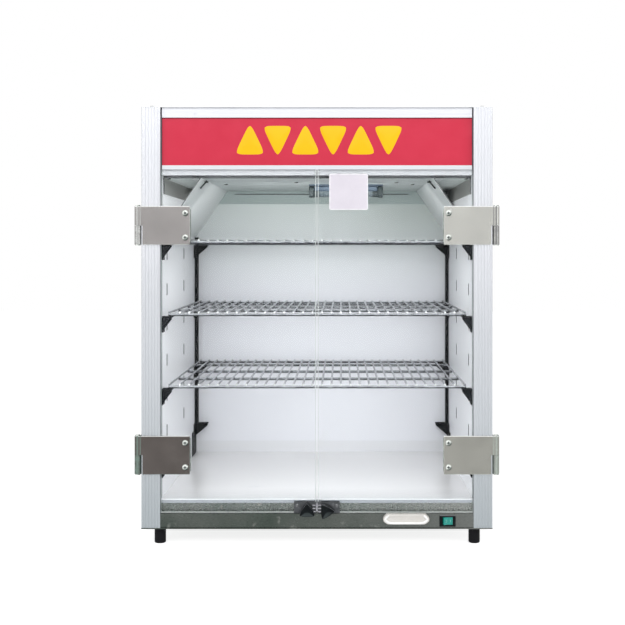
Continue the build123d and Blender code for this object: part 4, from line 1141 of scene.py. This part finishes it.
# Switch housing and inlet: black plastic, moulded with a light texture that dulls it. Painted
# highlights: the plastic is painted lighter on edges that face up and forward, and in the dish of a
# knob, where it faces the front.
moulded_black = finish(
    "moulded_black", ((0.001, 0.002, 0.003), (0.007, 0.010, 0.011)), 900, 90.0,
    (0.30, 0.45), 3e-6, worn=(240, 0.68, (0.035, 0.04, 0.04)), Specular_IOR_Level=0.08,
)
dish_highlight = leaning(moulded_black, (0, -0.94, 0.34), 0.962, 0.985)
lay_over(moulded_black, dish_highlight, (0.030, 0.038, 0.039))
upper_edge_highlight = both(leaning(moulded_black, (0, 0, 1), 0.40, 0.48),
                 leaning(moulded_black, (0, -1, 0), 0.30, 0.45))
lay_over(moulded_black, upper_edge_highlight, (0.26, 0.27, 0.29))
give(moulded_black, "switch_housing", "power_inlet")


# Knobs: three sided, with bowed sides, a dished face and a rounded rim, moulded in the same
# plastic. Each turns on a stud that passes through its door clip.
def bowed_triangle(inradius, side_radius, tightness, turn, count=96):
    """Radius to the nearest of three arcs, blended as (sum of r^-p)^(-1/p) to round the tips.

    An arc's radius along a direction is c.e + sqrt((c.e)^2 - |c|^2 + R^2) for centre c.
    """
    angle = np.linspace(0, 2 * math.pi, count, endpoint=False)
    reach = side_radius - inradius
    total = np.zeros(count)
    for k in range(3):
        dot = reach * np.cos(angle - (math.pi / 2 + 2 * math.pi / 3 * k + turn))
        total += (dot + np.sqrt(dot**2 - reach**2 + side_radius**2)) ** -tightness
    radius = total ** (-1 / tightness)
    return np.stack([radius * np.cos(angle), radius * np.sin(angle)], axis=1)


knob_z = 0.0491
knob_front = front - 0.0137
stud_back = front + 0.0059
knob_inradius = 0.0072
knob_side_radius = 0.045
knob_tightness = 16
knob_profile = [
    (0, 0.0017), (0.25, 0.0016), (0.5, 0.0012), (0.72, 0.0006), (0.86, 0.00015),
    (0.91, 0), (0.95, 0.0001), (0.985, 0.0006), (1, 0.0015), (0.99, 0.0080),
    (0.96, 0.0087), (0.88, 0.0090), (0, 0.0090)]
collar = (knob_front + 0.0085, knob_front + 0.0117, 0.005, 40)
stud = (knob_front + 0.0110, stud_back, 0.0025, 24)
stud_head = (stud_back - 0.0010, stud_back, 0.0035, 24)
for side, x, turn in (("left", -0.0131, 0.0), ("right", 0.0131, math.radians(33))):
    outline = bowed_triangle(knob_inradius, knob_side_radius, knob_tightness, turn)
    knob_grids = [stacked(outline, (x, knob_front, knob_z), knob_profile)]
    knob_grids += [rod((x, start, knob_z), (x, end, knob_z), radius, sides)
                   for start, end, radius, sides in (collar, stud, stud_head)]
    knob = new_piece("dished_knob_" + side, knob_grids, moulded_black, "knob_" + side)
    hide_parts("knob_" + side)


# Rocker: translucent green plastic, lit from behind by the switch's own lamp. Its face is two
# facets, with the marks I and O moulded proud of them.
rocker_green = finish(
    "rocker_green", ((0.000, 0.11, 0.090), (0.002, 0.20, 0.175)), 500, 220.0,
    (0.15, 0.28), 6e-6, Emission_Color=(0.002, 0.28, 0.22, 1), Emission_Strength=0.35,
)
give(rocker_green, "switch_rocker")
mark_pale = finish(
    "mark_pale", ((0.10, 0.42, 0.36), (0.18, 0.55, 0.48)), 900, 90.0,
    (0.3, 0.4), 2e-6, Emission_Color=(0.2, 0.7, 0.6, 1), Emission_Strength=0.1,
)
rocker_pivot = np.array((0.1792, front + 0.0032, 0.0336))
rocker_tilt = math.radians(10)
facet_tilt = math.atan2(0.0014, 0.0062)
facet_half = 0.0031
facet_out = 0.0039
mark_line = 0.0003
bar_half = 0.0017
ring_radius = 0.0014


def on_rocker(points, side):
    """Points given as across, up and out on one facet, turned by the facet and the rocker."""
    lean = -side * facet_tilt
    across = np.array((math.cos(lean), -math.sin(lean), 0))
    out = np.array((-math.sin(lean), -math.cos(lean), 0))
    middle = np.array((side * facet_half, -facet_out, 0))
    local = middle + points[..., :1] * across + points[..., 2:] * out
    local = local + points[..., 1:2] * np.array((0, 0, 1.0))
    cos, sin = math.cos(rocker_tilt), math.sin(rocker_tilt)
    tipped = np.stack([local[..., 0] * cos - local[..., 1] * sin,
                       local[..., 0] * sin + local[..., 1] * cos, local[..., 2]], axis=-1)
    return tipped + rocker_pivot


def raised_bar(half_x, half_z):
    """The mark I: a small bar with rounded ends, raised from the facet."""
    outline = rounded_outline(half_x, half_z, half_x * 0.8)
    steps = [(0, -0.0002), (1, -0.0002), (1, 0.00012), (0.8, 0.0002), (0, 0.0002)]
    return np.array([np.concatenate([outline * scale, np.full((len(outline), 1), rise)], axis=1)
                     for scale, rise in steps])


def raised_ring(radius, thickness):
    """The mark O: a ring, swept round as radius * (cos, sin) with a round section."""
    around = np.linspace(0, 2 * math.pi, 41)[:, None]
    section = np.linspace(0, 2 * math.pi, 8, endpoint=False)[None, :]
    size = radius + thickness * np.cos(section)
    return np.stack([size * np.cos(around), size * np.sin(around),
                     thickness * np.sin(section) * np.ones_like(around)], axis=-1)


new_piece(
    "rocker_marks",
    [on_rocker(raised_bar(mark_line, bar_half), 1),
     on_rocker(raised_ring(ring_radius, mark_line), -1)],
    mark_pale, "rocker",
)


# Tray pull: a white moulded cup on the front of the water tray, with a boat shaped rim that is
# rounded over and polished. Inside the rim the same white plastic is painted a darker ivory, a
# painted shade in the cup.
pull_shaded_ivory = finish(
    "pull_shaded_ivory", ((0.58, 0.56, 0.53), (0.63, 0.61, 0.58)), 1200, 25.0,
    (0.22, 0.34), 1e-6,
)
give(pull_shaded_ivory, "tray_pull")
pull_white = finish(
    "pull_white", ((0.80, 0.80, 0.79), (0.88, 0.88, 0.87)), 500, 50.0,
    (0.15, 0.25), 1e-6,
)
pull_low, pull_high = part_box("tray_pull")
pull_middle = (pull_low + pull_high) / 2
rim_radius = 0.0017
rim_sunk = 0.0008
rim_half = (0.0266 - rim_radius, 0.0315 - rim_radius, 0.0236)
rim_top = pull_high.z - rim_radius
rim_foot = pull_low.z + rim_radius
rim_side = [(rim_half[0] - 0.002, rim_top), (rim_half[0], rim_top),
            (rim_half[1], pull_low.z + 0.006), (rim_half[2], rim_foot)]
rim_corners = [(pull_middle.x + x, pull_low.y + rim_sunk, z)
               for x, z in rim_side + [(-x, z) for x, z in rim_side[::-1]]]
new_piece("pull_rim", [bead(eased(rim_corners, 150, 40), rim_radius)], pull_white, "tray")
